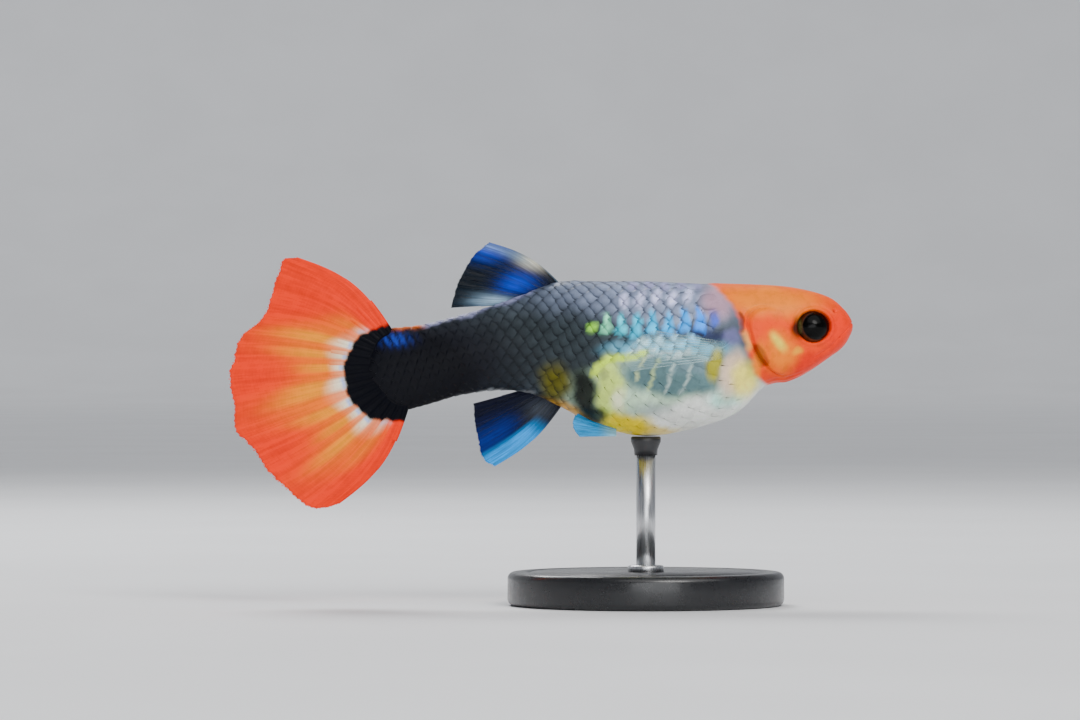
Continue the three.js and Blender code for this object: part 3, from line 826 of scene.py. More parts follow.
@dataclass(frozen=True)
class FinTissue:
    """Fin membrane or ray, coloured by its tint, with fine lines along the rays."""

    name: str
    lines: float
    line_light: float = 0.35
    opacity_from_tint: bool = False
    roughness: float = 0.5
    coat: float = 0.02

    def material(self) -> bpy.types.Material:
        """Build the material."""
        material, graph, shader = new_material(self.name)
        tint = graph.attribute("tint")
        place = graph.add("ShaderNodeSeparateXYZ", {0: graph.attribute("web").outputs["Vector"]})
        rays = graph.group(RAY_LINES, {
            "Across": place.outputs[0], "Along": place.outputs[1], "Lines": self.lines, "Sharpness": 1.4,
        })
        pigment = graph.pigment(tint.outputs["Color"], 1.4, 0.05, 0.05)
        lift = graph.math("MULTIPLY_ADD", rays.outputs["Lines"], 2 * self.line_light, 1 - self.line_light)
        joints = graph.math("MULTIPLY_ADD", rays.outputs["Joints"], -0.04, 1.0)
        toned = graph.add("ShaderNodeHueSaturation", {
            "Color": pigment.outputs["Color"], "Value": graph.math("MULTIPLY", lift, joints),
        })
        height = graph.math("MULTIPLY_ADD", rays.outputs["Joints"], -0.3, rays.outputs["Lines"])
        inputs = {
            "Base Color": toned.outputs[0],
            "Roughness": graph.gloss(pigment, self.roughness - 0.08, self.roughness + 0.1),
            "Normal": graph.bump(height, 0.4, 0.03),
            "Specular IOR Level": 0.06,
            "Coat Weight": self.coat,
            "Coat Roughness": 0.15,
        }
        if self.opacity_from_tint:
            lined = graph.math("MULTIPLY_ADD", rays.outputs["Lines"], 0.3, 1.0)
            inputs["Alpha"] = graph.math("MULTIPLY", tint.outputs["Alpha"], lined)
        graph.feed(shader, inputs)
        return material


@dataclass(frozen=True)
class EyeGloss:
    """The wet ball of the eye, coloured by its tint attribute."""

    name: str = "eye_gloss"

    def material(self) -> bpy.types.Material:
        """Build the material."""
        material, graph, shader = new_material(self.name)
        tint = graph.attribute("tint").outputs["Color"]
        pigment = graph.pigment(tint, 5.0, 0.25, 0.3)
        graph.feed(shader, {
            "Base Color": pigment.outputs["Color"],
            "Roughness": graph.gloss(pigment, 0.16, 0.28),
            "Specular IOR Level": 0.08,
            "Coat Weight": 0.07,
            "Coat Roughness": 0.05,
        })
        return material


@dataclass(frozen=True)
class MouldedPlastic:
    """Plain moulded or soft plastic with a fine satin grain."""

    name: str
    colour: Colour
    roughness: float = 0.3
    grain: float = 0.08

    def material(self) -> bpy.types.Material:
        """Build the material."""
        material, graph, shader = new_material(self.name)
        pigment = graph.pigment((*linear(self.colour), 1), 0.9, 0.06, 0.1)
        graph.feed(shader, {
            "Base Color": pigment.outputs["Color"],
            "Roughness": graph.gloss(pigment, self.roughness - 0.05, self.roughness + 0.08),
            "Normal": graph.bump(pigment.outputs["Height"], self.grain, 0.02),
            "Coat Weight": 0.2,
            "Coat Roughness": 0.1,
        })
        return material


@dataclass(frozen=True)
class BrushedSteel:
    """Steel rod brushed along its length."""

    name: str = "brushed_rod"

    def material(self) -> bpy.types.Material:
        """Build the material."""
        material, graph, shader = new_material(self.name)
        place = graph.add("ShaderNodeTexCoord").outputs["Object"]
        stretched = graph.add("ShaderNodeMapping", {0: place, 3: (9000, 9000, 260)}).outputs[0]
        noise = graph.add("ShaderNodeTexNoise", {"Vector": stretched, "Scale": 1.0, "Detail": 3.0})
        brush = noise.outputs[0]
        graph.feed(shader, {
            "Base Color": graph.mix(brush, (0.5, 0.51, 0.53, 1), (0.7, 0.71, 0.72, 1)),
            "Metallic": 1.0,
            "Roughness": graph.spread(brush, 0.3, 0.7, 0.22, 0.38),
            "Normal": graph.bump(brush, 0.15, 0.01),
        })
        return material


@dataclass(frozen=True)
class Paper:
    """The plain pale sweep behind and under the model."""

    name: str = "pale_sweep"

    def material(self) -> bpy.types.Material:
        """Build the material."""
        material, graph, shader = new_material(self.name)
        pigment = graph.pigment((0.8, 0.81, 0.83, 1), 0.02, 0.02, 0.0)
        graph.feed(shader, {"Base Color": pigment.outputs["Color"], "Roughness": 0.8})
        return material


# Mesh helpers


def set_attribute(mesh: bpy.types.Mesh, name: str, values: Array) -> None:
    """Store a value at each corner point of a mesh.

    Args:
        mesh: The mesh.
        name: The attribute's name.
        values: One number, vector or colour for each point.
    """
    width = 1 if values.ndim == 1 else values.shape[1]
    kind, key = {1: ("FLOAT", "value"), 3: ("FLOAT_VECTOR", "vector"), 4: ("FLOAT_COLOR", "color")}[width]
    layer = mesh.attributes.new(name, kind, "POINT")
    layer.data.foreach_set(key, np.ascontiguousarray(values, dtype=np.float32).ravel())


def read_attribute(mesh: bpy.types.Mesh, name: str, width: int) -> Array:
    """Read a number or a vector stored at each point of a mesh.

    Args:
        mesh: The mesh.
        name: The attribute's name.
        width: 1 for a number, 3 for a vector.

    Returns:
        One value for each point.
    """
    values = np.empty(width * len(mesh.vertices), np.float32)
    mesh.attributes[name].data.foreach_get("value" if width == 1 else "vector", values)
    return values if width == 1 else values.reshape(-1, width).astype(float)


def read_places(mesh: bpy.types.Mesh) -> Array:
    """Return the places of a mesh's points in millimetres, one a row."""
    return read_attribute(mesh, "position", 3) / MM


def put_in_scene(name: str, data: bpy.types.ID) -> bpy.types.Object:
    """Make an object for a mesh, a lamp or a camera and link it to the scene."""
    item = bpy.data.objects.new(name, data)
    bpy.context.scene.collection.objects.link(item)
    return item


def new_object(
    name: str, points: Array, faces: list, attributes: dict | None = None, edges: tuple | list = ()
) -> bpy.types.Object:
    """Make a smooth mesh object from places in millimetres.

    Args:
        name: The object's name.
        points: Places, one a row.
        faces: Corner numbers of each face.
        attributes: Name to one value for each place.
        edges: Ends of each loose edge.

    Returns:
        The new object, linked to the scene.
    """
    mesh = bpy.data.meshes.new(name)
    mesh.from_pydata((points * MM).tolist(), edges, [list(map(int, face)) for face in faces])
    mesh.update()
    for key, values in (attributes or {}).items():
        set_attribute(mesh, key, values)
    mesh.polygons.foreach_set("use_smooth", [True] * len(mesh.polygons))
    return put_in_scene(name, mesh)


def dress(
    piece: bpy.types.Object, material: bpy.types.Material, replaced: tuple[str, ...] = ()
) -> None:
    """Give a finished piece its material, its body and the nodes that it stands for.

    Args:
        piece: The piece.
        material: Its material.
        replaced: CAD nodes that it replaces.
    """
    piece.data.materials.clear()
    piece.data.materials.append(material)
    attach(piece, "root")
    if replaced:
        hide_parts(*replaced)
    LOG.info("%s: %d faces", piece.name, len(piece.data.polygons))


def ring_faces(rings: int, around: int) -> list[tuple[int, int, int, int]]:
    """Return the faces of a tube of rings, each with the same number of points."""
    faces = []
    for ring in range(rings - 1):
        for index in range(around):
            after = (index + 1) % around
            first, second = ring * around, (ring + 1) * around
            faces.append((first + index, first + after, second + after, second + index))
    return faces


def closed_tube(rings: int, around: int) -> list[tuple[int, ...]]:
    """Return the faces of a tube whose ends are closed.

    Args:
        rings: How many rings the tube has.
        around: Points in each ring.

    Returns:
        Faces; the two points after the rings' own close the first and the last ring.
    """
    size = rings * around
    faces = ring_faces(rings, around)
    for index in range(around):
        after = (index + 1) % around
        faces.append((size, after, index))
        faces.append((size + 1, size - around + index, size - around + after))
    return faces


def sheet_faces(rows: int, columns: int) -> tuple[list[tuple[int, ...]], list[tuple[int, int]]]:
    """Return both sides of a thin sheet, whose lower points follow its upper ones.

    Args:
        rows: Points one way.
        columns: Points the other way.

    Returns:
        The sides' faces, and the stretches of the upper rim in order.
    """
    size = rows * columns
    faces = []
    for row in range(rows - 1):
        for column in range(columns - 1):
            a = row * columns + column
            faces.append((a, a + columns, a + columns + 1, a + 1))
            faces.append((size + a, size + a + 1, size + a + columns + 1, size + a + columns))
    rim = (
        [(column, column + 1) for column in range(columns - 1)]
        + [((row + 1) * columns - 1, (row + 2) * columns - 1) for row in range(rows - 1)]
        + [(size - 1 - column, size - 2 - column) for column in range(columns - 1)]
        + [((row + 1) * columns, row * columns) for row in reversed(range(rows - 1))]
    )
    return faces, rim


def lathe(name: str, profile: list[Pair], centre_x: float, around: int) -> bpy.types.Object:
    """Turn a profile round an upright axis.

    Args:
        name: The object's name.
        profile: Radius and height from the bottom on the axis to the top on the axis.
        centre_x: Where the axis stands along X.
        around: Points round the axis.

    Returns:
        The new object.
    """
    turn = np.linspace(0, 2 * math.pi, around, endpoint=False)
    rings = np.array([
        np.stack([centre_x + radius * np.cos(turn), radius * np.sin(turn), np.full(around, height)], axis=1)
        for radius, height in profile[1:-1]
    ])
    ends = [[centre_x, 0, profile[0][1]], [centre_x, 0, profile[-1][1]]]
    return new_object(name, np.vstack([rings.reshape(-1, 3), ends]), closed_tube(len(rings), around))


def rounded(corner: Pair, radius: float, start: float, end: float, steps: int = 6) -> list:
    """Return the points of an arc round a corner's centre.

    Args:
        corner: The arc's centre.
        radius: Its radius.
        start: Its first angle in degrees.
        end: Its last angle in degrees.
        steps: How many straight stretches it has.

    Returns:
        Radius and height of each point.
    """
    angles = [math.radians(start + (end - start) * step / steps) for step in range(steps + 1)]
    return [(corner[0] + radius * math.cos(angle), corner[1] + radius * math.sin(angle)) for angle in angles]


class NodeTool:
    """A Geometry Nodes tree with named inputs, put on an object as a modifier."""

    def __init__(self, name: str, inputs: dict[str, tuple[str, object]]) -> None:
        """Start the tree.

        Args:
            name: The tree's name.
            inputs: Input name to its socket type and value.
        """
        self.tree = bpy.data.node_groups.new(name, "GeometryNodeTree")
        self.tree.interface.new_socket("Geometry", in_out="INPUT", socket_type="NodeSocketGeometry")
        self.values = {}
        for label, (kind, value) in inputs.items():
            socket = self.tree.interface.new_socket(label, in_out="INPUT", socket_type=kind)
            self.values[socket.identifier] = value
        self.tree.interface.new_socket("Geometry", in_out="OUTPUT", socket_type="NodeSocketGeometry")
        self.graph = Graph(self.tree)
        self.source = self.graph.add("NodeGroupInput").outputs
        self.target = self.graph.add("NodeGroupOutput").inputs

    def named(self, name: str, kind: str) -> bpy.types.NodeSocket:
        """Return the node socket that reads a stored attribute of the given kind."""
        node = self.graph.add("GeometryNodeInputNamedAttribute", {"Name": name}, data_type=kind)
        return next(socket for socket in node.outputs if socket.enabled)

    def finish(self, geometry: bpy.types.NodeSocket) -> None:
        """End the tree by realizing instances and setting the material.

        Args:
            geometry: The geometry to end with.
        """
        real = self.graph.add("GeometryNodeRealizeInstances", {0: geometry}).outputs[0]
        dressed = self.graph.add(
            "GeometryNodeSetMaterial", {"Geometry": real, "Material": self.source["Material"]}
        ).outputs[0]
        self.tree.links.new(dressed, self.target["Geometry"])

    def apply(self, item: bpy.types.Object, name: str) -> bpy.types.Object:
        """Run the tree on an object, keep the result as a plain mesh and remove the object.

        Args:
            item: The object with the starting geometry.
            name: The finished piece's name.

        Returns:
            The result as a plain object.
        """
        modifier = item.modifiers.new(self.tree.name, "NODES")
        modifier.node_group = self.tree
        for identifier, value in self.values.items():
            modifier[identifier] = value
        graph = bpy.context.evaluated_depsgraph_get()
        mesh = bpy.data.meshes.new_from_object(item.evaluated_get(graph), depsgraph=graph)
        mesh.name = name
        item.modifiers.clear()
        bpy.data.objects.remove(item)
        mesh.polygons.foreach_set("use_smooth", [True] * len(mesh.polygons))
        return put_in_scene(name, mesh)


# Head and skin


@dataclass(frozen=True)
class EyeSeat:
    """Where the eyes sit and how large they are."""

    x: float = 22.7
    z: float = 23.2
    long: float = 1.44
    tall: float = 1.34
    deep: float = 1.0
    proud: float = 0.4
    ahead: float = 16.0
    upwards: float = 5.0

    def axes(self, side: Side) -> Array:
        """Return the eye's own axes as rows: along the head, up the head, and its gaze."""
        sign = side.value
        yaw, pitch = sign * math.radians(self.ahead), math.radians(self.upwards)
        gaze = np.array([
            sign * math.sin(yaw) * math.cos(pitch),
            -sign * math.cos(yaw) * math.cos(pitch),
            math.sin(pitch),
        ])
        along = np.array([math.cos(yaw), math.sin(yaw), 0])
        return np.array([along, np.cross(gaze, along) * sign, gaze])

    def centre(self, side: Side) -> Array:
        """Return the middle of the eyeball."""
        half = abs(BODY.flank(self.x, self.z)[1])
        surface = np.array([self.x, -side.value * half, self.z])
        return surface + self.axes(side)[2] * (self.proud - self.deep)


@dataclass(frozen=True)
class HeadRelief:
    """Raises and sinks the skin of the head: orbits, gill covers, lips, nostrils and throat."""

    eye: EyeSeat = field(default_factory=EyeSeat)
    mouth_corner: Pair = (24.85, 22.25)
    mouth_front: Pair = (25.96, 23.5)
    nostril: Pair = (24.4, 24.5)
    gill_place: float = 5.24
    gill_turn: float = 196.0
    gill_reach: float = 0.54
    gill_sweep: float = 40.0
    orbit_rim: float = 0.08
    orbit_depth: float = 0.62
    gill_rise: float = 0.2
    gill_groove: float = 0.16
    lip_groove: float = 0.1
    nostril_rim: float = 0.06
    nostril_depth: float = 0.3
    throat_fold: float = 0.05
    jaw_groove: float = 0.07

    def mouth_line(self) -> Array:
        """Return the line of the mouth from the middle of the snout to the corner, on one side."""
        corner, front = np.array(self.mouth_corner), np.array(self.mouth_front)
        half = abs(BODY.flank(*self.mouth_corner)[1])
        angle = np.linspace(0, math.pi / 2, 24)
        flat = corner + np.cos(angle)[:, None] * (front - corner)
        return np.stack([flat[:, 0], half * np.sin(angle), flat[:, 1]], axis=1)

    def rise(self, points: Array, place: Array, turn: Array) -> Array:
        """Say how far each place of the skin is raised along its normal.

        Args:
            points: Places on the plain body, one a row.
            place: Their places along the body.
            turn: Their turns round the body.

        Returns:
            Millimetres outwards.
        """
        folded = points * np.array([1, -1, 1]) * np.where(points[:, 1] > 0, 1, -1)[:, None] ** [0, 1, 0]
        seat, axes = self.eye.centre(Side.RIGHT), self.eye.axes(Side.RIGHT)
        local = (folded - seat) @ axes.T
        reach = np.hypot(local[:, 0] / self.eye.long, local[:, 1] / self.eye.tall)
        near = smooth(-0.4, 0.1, local[:, 2])
        rise = near * (self.orbit_rim * bell(reach - 1.12, 0.1) - 0.03 * bell(reach - 1.3, 0.1))
        rise -= near * self.orbit_depth * (1 - smooth(0.84, 1.08, reach))
        right_turn = np.degrees(np.where(points[:, 1] > 0, math.pi - turn, turn) % (2 * math.pi))
        behind = (place - self.gill_place) / self.gill_reach
        oval = np.hypot(behind, (right_turn - self.gill_turn) / self.gill_sweep)
        rear = smooth(-0.4, 0.5, behind)
        rise += self.gill_rise * (1 - smooth(0.92, 1.06, oval)) * (0.12 + 0.88 * rear)
        rise -= self.gill_groove * rear * bell(oval - 1.09, 0.05)
        rise += 0.03 * bell(oval - 0.55, 0.1) * (1 - rear)
        mouth = path_distance(folded * np.array([1, -1, 1]), self.mouth_line())
        rise -= self.lip_groove * bell(mouth, 0.06)
        pit = np.linalg.norm(folded - BODY.flank(*self.nostril), axis=1)
        rise += self.nostril_rim * bell(pit - 0.26, 0.07) - self.nostril_depth * bell(pit, 0.13)
        throat = smooth(236, 248, right_turn) * bell(place - 5.1, 0.8)
        rise += self.throat_fold * throat * np.sin(np.radians(right_turn) * 26)
        jaw = np.array([self.mouth_corner, (24.0, 21.4), (22.7, 20.6)])
        rise -= self.jaw_groove * bell(path_distance(folded[:, [0, 2]], jaw), 0.1) * (folded[:, 1] < 0)
        return rise


@dataclass(frozen=True)
class Skin:
    """One seamless skin from the snout to the root of the tail."""

    step: float = 0.11
    trunk_step: float = 0.2
    head_sections: int = 6
    around: int = 208
    coat_depth: float = 0.12
    # How strongly painted shade darkens the skin where the relief sinks it.
    groove_painted_shade: float = 0.75
    relief: HeadRelief = field(default_factory=HeadRelief)
    finish: WetSkin = field(default_factory=WetSkin)

    def stations(self) -> Array:
        """Return the rings' places, closer together on the head."""
        places = [0.04]
        for index in range(len(BODY.sections) - 1):
            sizes = BODY.values(np.array([index, index + 1.0]))
            steps = sizes[1] - sizes[0]
            travel = max(np.hypot(*steps[:2]), np.hypot(*steps[2:4]))
            step = self.step if index < self.head_sections else self.trunk_step
            count = max(5, math.ceil(travel / step))
            places += [index + share for share in np.linspace(0, 1, count + 1)[1:]]
        return np.array(places)

    def inset(self, points: Array) -> Array:
        """Return how far the skin lies inside the solid, which is the scales' depth on the body."""
        return self.coat_depth * (1 - LIVERY.head_share(points[:, 0], points[:, 2], 0.6))

    def build(self) -> bpy.types.Object:
        """Build the skin's mesh and dress it."""
        stations = self.stations()
        place = np.repeat(stations, self.around)
        turn = np.tile(np.linspace(0, 2 * math.pi, self.around, endpoint=False), len(stations))
        plain = BODY.point(place, turn)
        lift = self.relief.rise(plain, place, turn) - self.inset(plain)
        points = plain + BODY.normal(place, turn) * lift[:, None]
        tip = BODY.point(np.array([0.0]), np.array([0.0]))[0]
        end = BODY.point(np.full(self.around, BODY.last), turn[: self.around]).mean(axis=0)
        faces = closed_tube(len(stations), self.around)
        points = np.vstack([points, tip, end])
        shade = np.append(np.clip(lift + self.inset(plain), -1, 1), [0, 0])
        tint = LIVERY.body(points)
        # Painted shade: darken the tint where the relief sinks the skin, in the orbits, the nostrils and the
        # grooves of the gill covers, lips and jaw.
        tint[:, :3] *= (1 - self.groove_painted_shade * smooth(0.06, 0.3, -shade))[:, None]
        piece = new_object("guppy_skin", points, faces, {"tint": tint})
        replaced = ("head", "trunk", "tail_stalk", "gill_cover_right", "gill_cover_left")
        dress(piece, self.finish.material(), replaced)
        return piece


# Scales


@dataclass
class ScaleRoots:
    """The scales' roots: places, turns, sizes and places on the unwrap."""

    points: list[Array] = field(default_factory=list)
    rotations: list[list[float]] = field(default_factory=list)
    sizes: list[list[float]] = field(default_factory=list)
    spots: list[list[float]] = field(default_factory=list)

    def turn_to(self, forward: Array, normal: Array) -> None:
        """Add the turn of a scale that points forward and faces along the normal."""
        aside = np.cross(normal, forward)
        aside /= np.linalg.norm(aside)
        up = np.cross(forward, aside)
        pitch = -math.asin(np.clip(forward[2], -1, 1))
        self.rotations.append([math.atan2(aside[2], up[2]), pitch, math.atan2(forward[1], forward[0])])


@dataclass(frozen=True)
class ScaleCoat:
    """Overlapping scales from the gill covers to the root of the tail."""

    pitch_front: float = 1.27
    pitch_rear: float = 0.86
    row_front: float = 0.87
    row_rear: float = 0.7
    overlap: float = 1.62
    width_share: float = 2.06
    tilt: float = 2.3
    tilt_flat: float = 0.25
    sunk: float = 0.15
    sunk_flat: float = 0.12
    thick: float = 0.05
    thick_flat: float = 0.012
    uneven: float = 0.03
    first_place: float = 6.05
    last_place: float = 16.6
    patch: float = 0.003
    finish: ScalePlate = field(default_factory=ScalePlate)

    def plate(self) -> bpy.types.Object:
        """Build one scale of unit size, lying along +X with its free edge at the far end."""
        across, along = 7, 7
        points, plates = [], []
        for layer in (0, 1):
            for row in range(along):
                for column in range(across):
                    share, side = row / (along - 1), 2 * column / (across - 1) - 1
                    free = max(0.0, (share - 0.4) / 0.6)
                    width = (0.78 + 0.22 * min(1.0, share / 0.4)) * math.sqrt(max(0.0, 1 - free**2.4))
                    x = share * (1 - 0.16 * side * side * free)
                    y = side * max(width, 0.16)
                    rise = share**0.8 - 0.3 * (y * y) - (0.34 * free**3 if layer == 0 else 0)
                    points.append((x, y / 2, rise - 0.34 * layer))
                    plates.append((y, 2 * x - 1, 0))
        size = across * along
        faces, edge = sheet_faces(along, across)
        faces += [(a, b, size + b, size + a) for a, b in edge]
        unit = new_object("scale_unit", np.array(points) / MM, faces, {"plate": np.array(plates, float)})
        rim = {corner for pair in edge for corner in pair}
        sharp = [{vertex % size for vertex in line.vertices} <= rim for line in unit.data.edges]
        unit.data.attributes.new("sharp_edge", "BOOLEAN", "EDGE").data.foreach_set("value", sharp)
        return unit

    def columns(self) -> list[Pair]:
        """Return the places of the scales' columns along the lateral line, with their pitch."""
        fine = np.linspace(self.first_place, self.last_place, 4000)
        travel = travelled(BODY.point(fine, np.zeros(len(fine))))
        result, reach = [], 0.0
        while reach < travel[-1]:
            share = reach / travel[-1]
            pitch = self.pitch_front + (self.pitch_rear - self.pitch_front) * smooth(0.35, 0.9, share)
            result.append((float(np.interp(reach, travel, fine)), float(pitch)))
            reach += pitch / 2
        return result

    def roots(self) -> dict[str, Array]:
        """Lay out the scales' roots.

        Returns:
            Places, turns, sizes, shades and places on the unwrap, one row a scale.
        """
        chance = np.random.default_rng(SEED)
        roots = ScaleRoots()
        columns = self.columns()
        for number, (place, pitch) in enumerate(columns):
            share = number / (len(columns) - 1)
            spacing = self.row_front + (self.row_rear - self.row_front) * float(smooth(0.35, 0.95, share))
            for direction in (1, -1):
                quarter = np.linspace(0, direction * math.pi / 2, 300)
                arc = travelled(BODY.point(np.full(300, place), quarter))
                first = (number % 2) if direction == 1 else 2 - (number % 2)
                for row in range(first, int((arc[-1] + 0.2 * spacing) / spacing) + 1, 2):
                    turn = float(np.interp(min(row * spacing, arc[-1]), arc, quarter))
                    middle = abs(abs(turn) - math.pi / 2) < 1e-3
                    for side_turn in (turn,) if middle else (turn, math.pi - turn):
                        self._add_root(roots, place, side_turn, (pitch, spacing), chance)
        return {
            "points": np.array(roots.points),
            "rotation": np.array(roots.rotations),
            "size": np.array(roots.sizes),
            "shade": chance.uniform(0.9, 1.1, len(roots.points)),
            "spot": np.array(roots.spots),
        }

    def _add_root(
        self, roots: ScaleRoots, place: float, turn: float, spacing: Pair,
        chance: np.random.Generator,
    ) -> None:
        """Add one scale's root, unless it would lie on the head.

        Args:
            roots: The roots so far.
            place: Place along the body.
            turn: Turn round the body.
            spacing: Distance from scale to scale along the body, and from row to row.
            chance: Seeded random numbers.
        """
        wobble = chance.normal(0, 1, 3)
        spot = BODY.point(place, turn)
        if LIVERY.head_share(spot[None, 0] + 0.35, spot[None, 2])[0] > 0.5:
            return
        belly = float(smooth(21.5, 18.5, spot[2]) * smooth(0, 5, spot[0]))
        flat = max(belly, float(LIVERY.head_share(spot[None, 0] + 2.3, spot[None, 2], 1.0)[0]))
        normal = BODY.normal(np.array(place), np.array(turn))
        back = BODY.point(min(place + 0.05, BODY.last), turn) - spot
        back -= normal * (back @ normal)
        back /= np.linalg.norm(back)
        back += self.uneven * wobble[0] * np.cross(normal, back)
        tilt = math.radians(self.tilt + (self.tilt_flat - self.tilt) * flat)
        roots.turn_to(back * math.cos(tilt) + normal * math.sin(tilt), normal)
        roots.points.append(spot - normal * (self.sunk + (self.sunk_flat - self.sunk) * flat))
        length = spacing[0] * self.overlap * (1 + self.uneven * wobble[1])
        width = self.width_share * spacing[1] * (1 + self.uneven * wobble[2])
        roots.sizes.append([length, width, self.thick + (self.thick_flat - self.thick) * flat])
        roots.spots.append([place / BODY.last, (turn / (2 * math.pi)) % 1.0, 0.0])

    def build(self) -> bpy.types.Object:
        """Instance the scales on their roots, make them real and dress them."""
        roots = self.roots()
        cloud = new_object("scale_roots", roots["points"], [], {
            "rotation": roots["rotation"], "size": roots["size"] * MM, "shade": roots["shade"],
            "spot": roots["spot"],
        })
        material = self.finish.material()
        unit = self.plate()
        tool = NodeTool("scale_coat", {
            "Scale": ("NodeSocketObject", unit), "Material": ("NodeSocketMaterial", material),
        })
        info = tool.graph.add("GeometryNodeObjectInfo", {"Object": tool.source["Scale"]})
        rotation = tool.graph.add(
            "FunctionNodeEulerToRotation", {0: tool.named("rotation", "FLOAT_VECTOR")}
        ).outputs[0]
        placed = tool.graph.add("GeometryNodeInstanceOnPoints", {
            "Points": tool.source["Geometry"], "Instance": info.outputs["Geometry"],
            "Rotation": rotation, "Scale": tool.named("size", "FLOAT_VECTOR"),
        })
        tool.finish(placed.outputs[0])
        piece = tool.apply(cloud, "guppy_scales")
        bpy.data.objects.remove(unit)
        self._wrap(piece.data)
        self._bake_map(piece.data)
        self._paint(piece.data)
        dress(piece, material)
        return piece

    @staticmethod
    def _wrap(mesh: bpy.types.Mesh) -> None:
        """Bend each flat scale round the body, so that it keeps its own height over the surface.

        Args:
            mesh: The coat's mesh.
        """
        points, spot = read_places(mesh), read_attribute(mesh, "spot", 3)
        place, turn = spot[:, 0] * BODY.last, spot[:, 1] * 2 * math.pi
        height = ((points - BODY.point(place, turn)) * BODY.normal(place, turn)).sum(axis=1)
        step, reach = 0.01, 0.4
        for _ in range(5):
            foot = BODY.point(place, turn)
            along = (BODY.point(place + step, turn) - foot) / step
            around = (BODY.point(place, turn + step) - foot) / step
            gap = points - foot
            pairs = ((along, along), (along, around), (around, around), (gap, along), (gap, around))
            aa, ab, bb, ga, gb = ((u * v).sum(axis=1) for u, v in pairs)
            scale = np.maximum(aa * bb - ab * ab, 1e-9)
            place = place + np.clip((ga * bb - gb * ab) / scale, -reach, reach)
            turn = turn + np.clip((gb * aa - ga * ab) / scale, -reach, reach)
        bent = BODY.point(place, turn) + BODY.normal(place, turn) * height[:, None]
        mesh.vertices.foreach_set("co", (bent * MM).astype(np.float32).ravel())
        mesh.update()

    @staticmethod
    def _paint(mesh: bpy.types.Mesh) -> None:
        """Give the scales the body's markings, each scale a shade of its own, and how strongly their edges
        and painted sheen are drawn.

        Args:
            mesh: The coat's mesh.
        """
        points = read_places(mesh)
        shade = read_attribute(mesh, "shade", 1)
        tint = LIVERY.body(points)
        tint[:, :3] *= shade[:, None]
        set_attribute(mesh, "tint", tint)
        set_attribute(mesh, "net", LIVERY.net_and_sheen_strength(points))

    def _bake_map(self, mesh: bpy.types.Mesh) -> None:
        """Give each scale its small patch on an unwrap of the body.

        Args:
            mesh: The coat's mesh.
        """
        spot, plate = read_attribute(mesh, "spot", 3), read_attribute(mesh, "plate", 3)
        corners = spot[:, :2] + plate[:, :2] * (self.patch / 2)
        loops = np.empty(len(mesh.loops), np.int32)
        mesh.loops.foreach_get("vertex_index", loops)
        layer = mesh.uv_layers.new(name="OFBake")
        layer.data.foreach_set("uv", corners[loops].astype(np.float32).ravel())


# Eyes


@dataclass(frozen=True)
class Eye:
    """A wet eyeball with a black pupil, an amber iris and a proud lens."""

    side: Side
    seat: EyeSeat = field(default_factory=EyeSeat)
    rings: int = 56
    around: int = 72
    pupil: float = 0.8
    pupil_ahead: float = 0.1
    finish: EyeGloss = field(default_factory=EyeGloss)

    def build(self) -> bpy.types.Object:
        """Build the eyeball's mesh and dress it."""
        polar = np.linspace(0, math.pi, self.rings + 2)[1:-1]
        turn = np.linspace(0, 2 * math.pi, self.around, endpoint=False)
        polar, turn = np.meshgrid(polar, turn, indexing="ij")
        along = np.sin(polar) * np.cos(turn)
        up = np.sin(polar) * np.sin(turn)
        out = np.cos(polar)
        along, up, out = (np.append(values.ravel(), [0, 0]) for values in (along, up, out))
        out[-2:] = [1, -1]
        reach = np.hypot(along - self.pupil_ahead, up)
        front = out > 0
        lens = 0.1 * (1 - smooth(0.0, self.pupil, reach)) - 0.05 * bell(reach - self.pupil, 0.06)
        bulge = np.where(front, lens, 0)
        local = np.stack([along * self.seat.long, up * self.seat.tall, out * self.seat.deep + bulge], axis=1)
        points = self.seat.centre(self.side) + local @ self.seat.axes(self.side)
        faces = closed_tube(self.rings, self.around)
        if self.side is Side.LEFT:
            faces = [tuple(reversed(face)) for face in faces]
        node = f"eye_{self.side.name.lower()}"
        piece = new_object(f"guppy_{node}", points, faces, {"tint": self.tint(along, up, reach, front)})
        dress(piece, self.finish.material(), (node,))
        return piece

    def tint(self, along: Array, up: Array, reach: Array, front: Array) -> Array:
        """Colour the eyeball.

        Args:
            along: Place along the head, -1 at the rear rim and 1 at the front rim.
            up: Place up the head.
            reach: Distance from the middle of the pupil.
            front: True on the half that looks out.

        Returns:
            Linear colours, one a row.
        """
        black, amber = linear((2, 2, 2)), linear((84, 32, 4))
        brown, silver = linear((16, 9, 4)), linear((120, 110, 60))
        colour = lay(amber, (
            (brown, smooth(-0.45, -0.95, along)),
            (silver, 0.35 * bell(along + 0.86, 0.1) * smooth(0.75, 0.2, np.abs(up))),
            (brown, 0.6 * smooth(0.35, 0.9, up)),
            (black, 1 - smooth(self.pupil, self.pupil + 0.07, reach)),
        ))
        return with_alpha(np.where(front[:, None], colour, brown))


# Fins


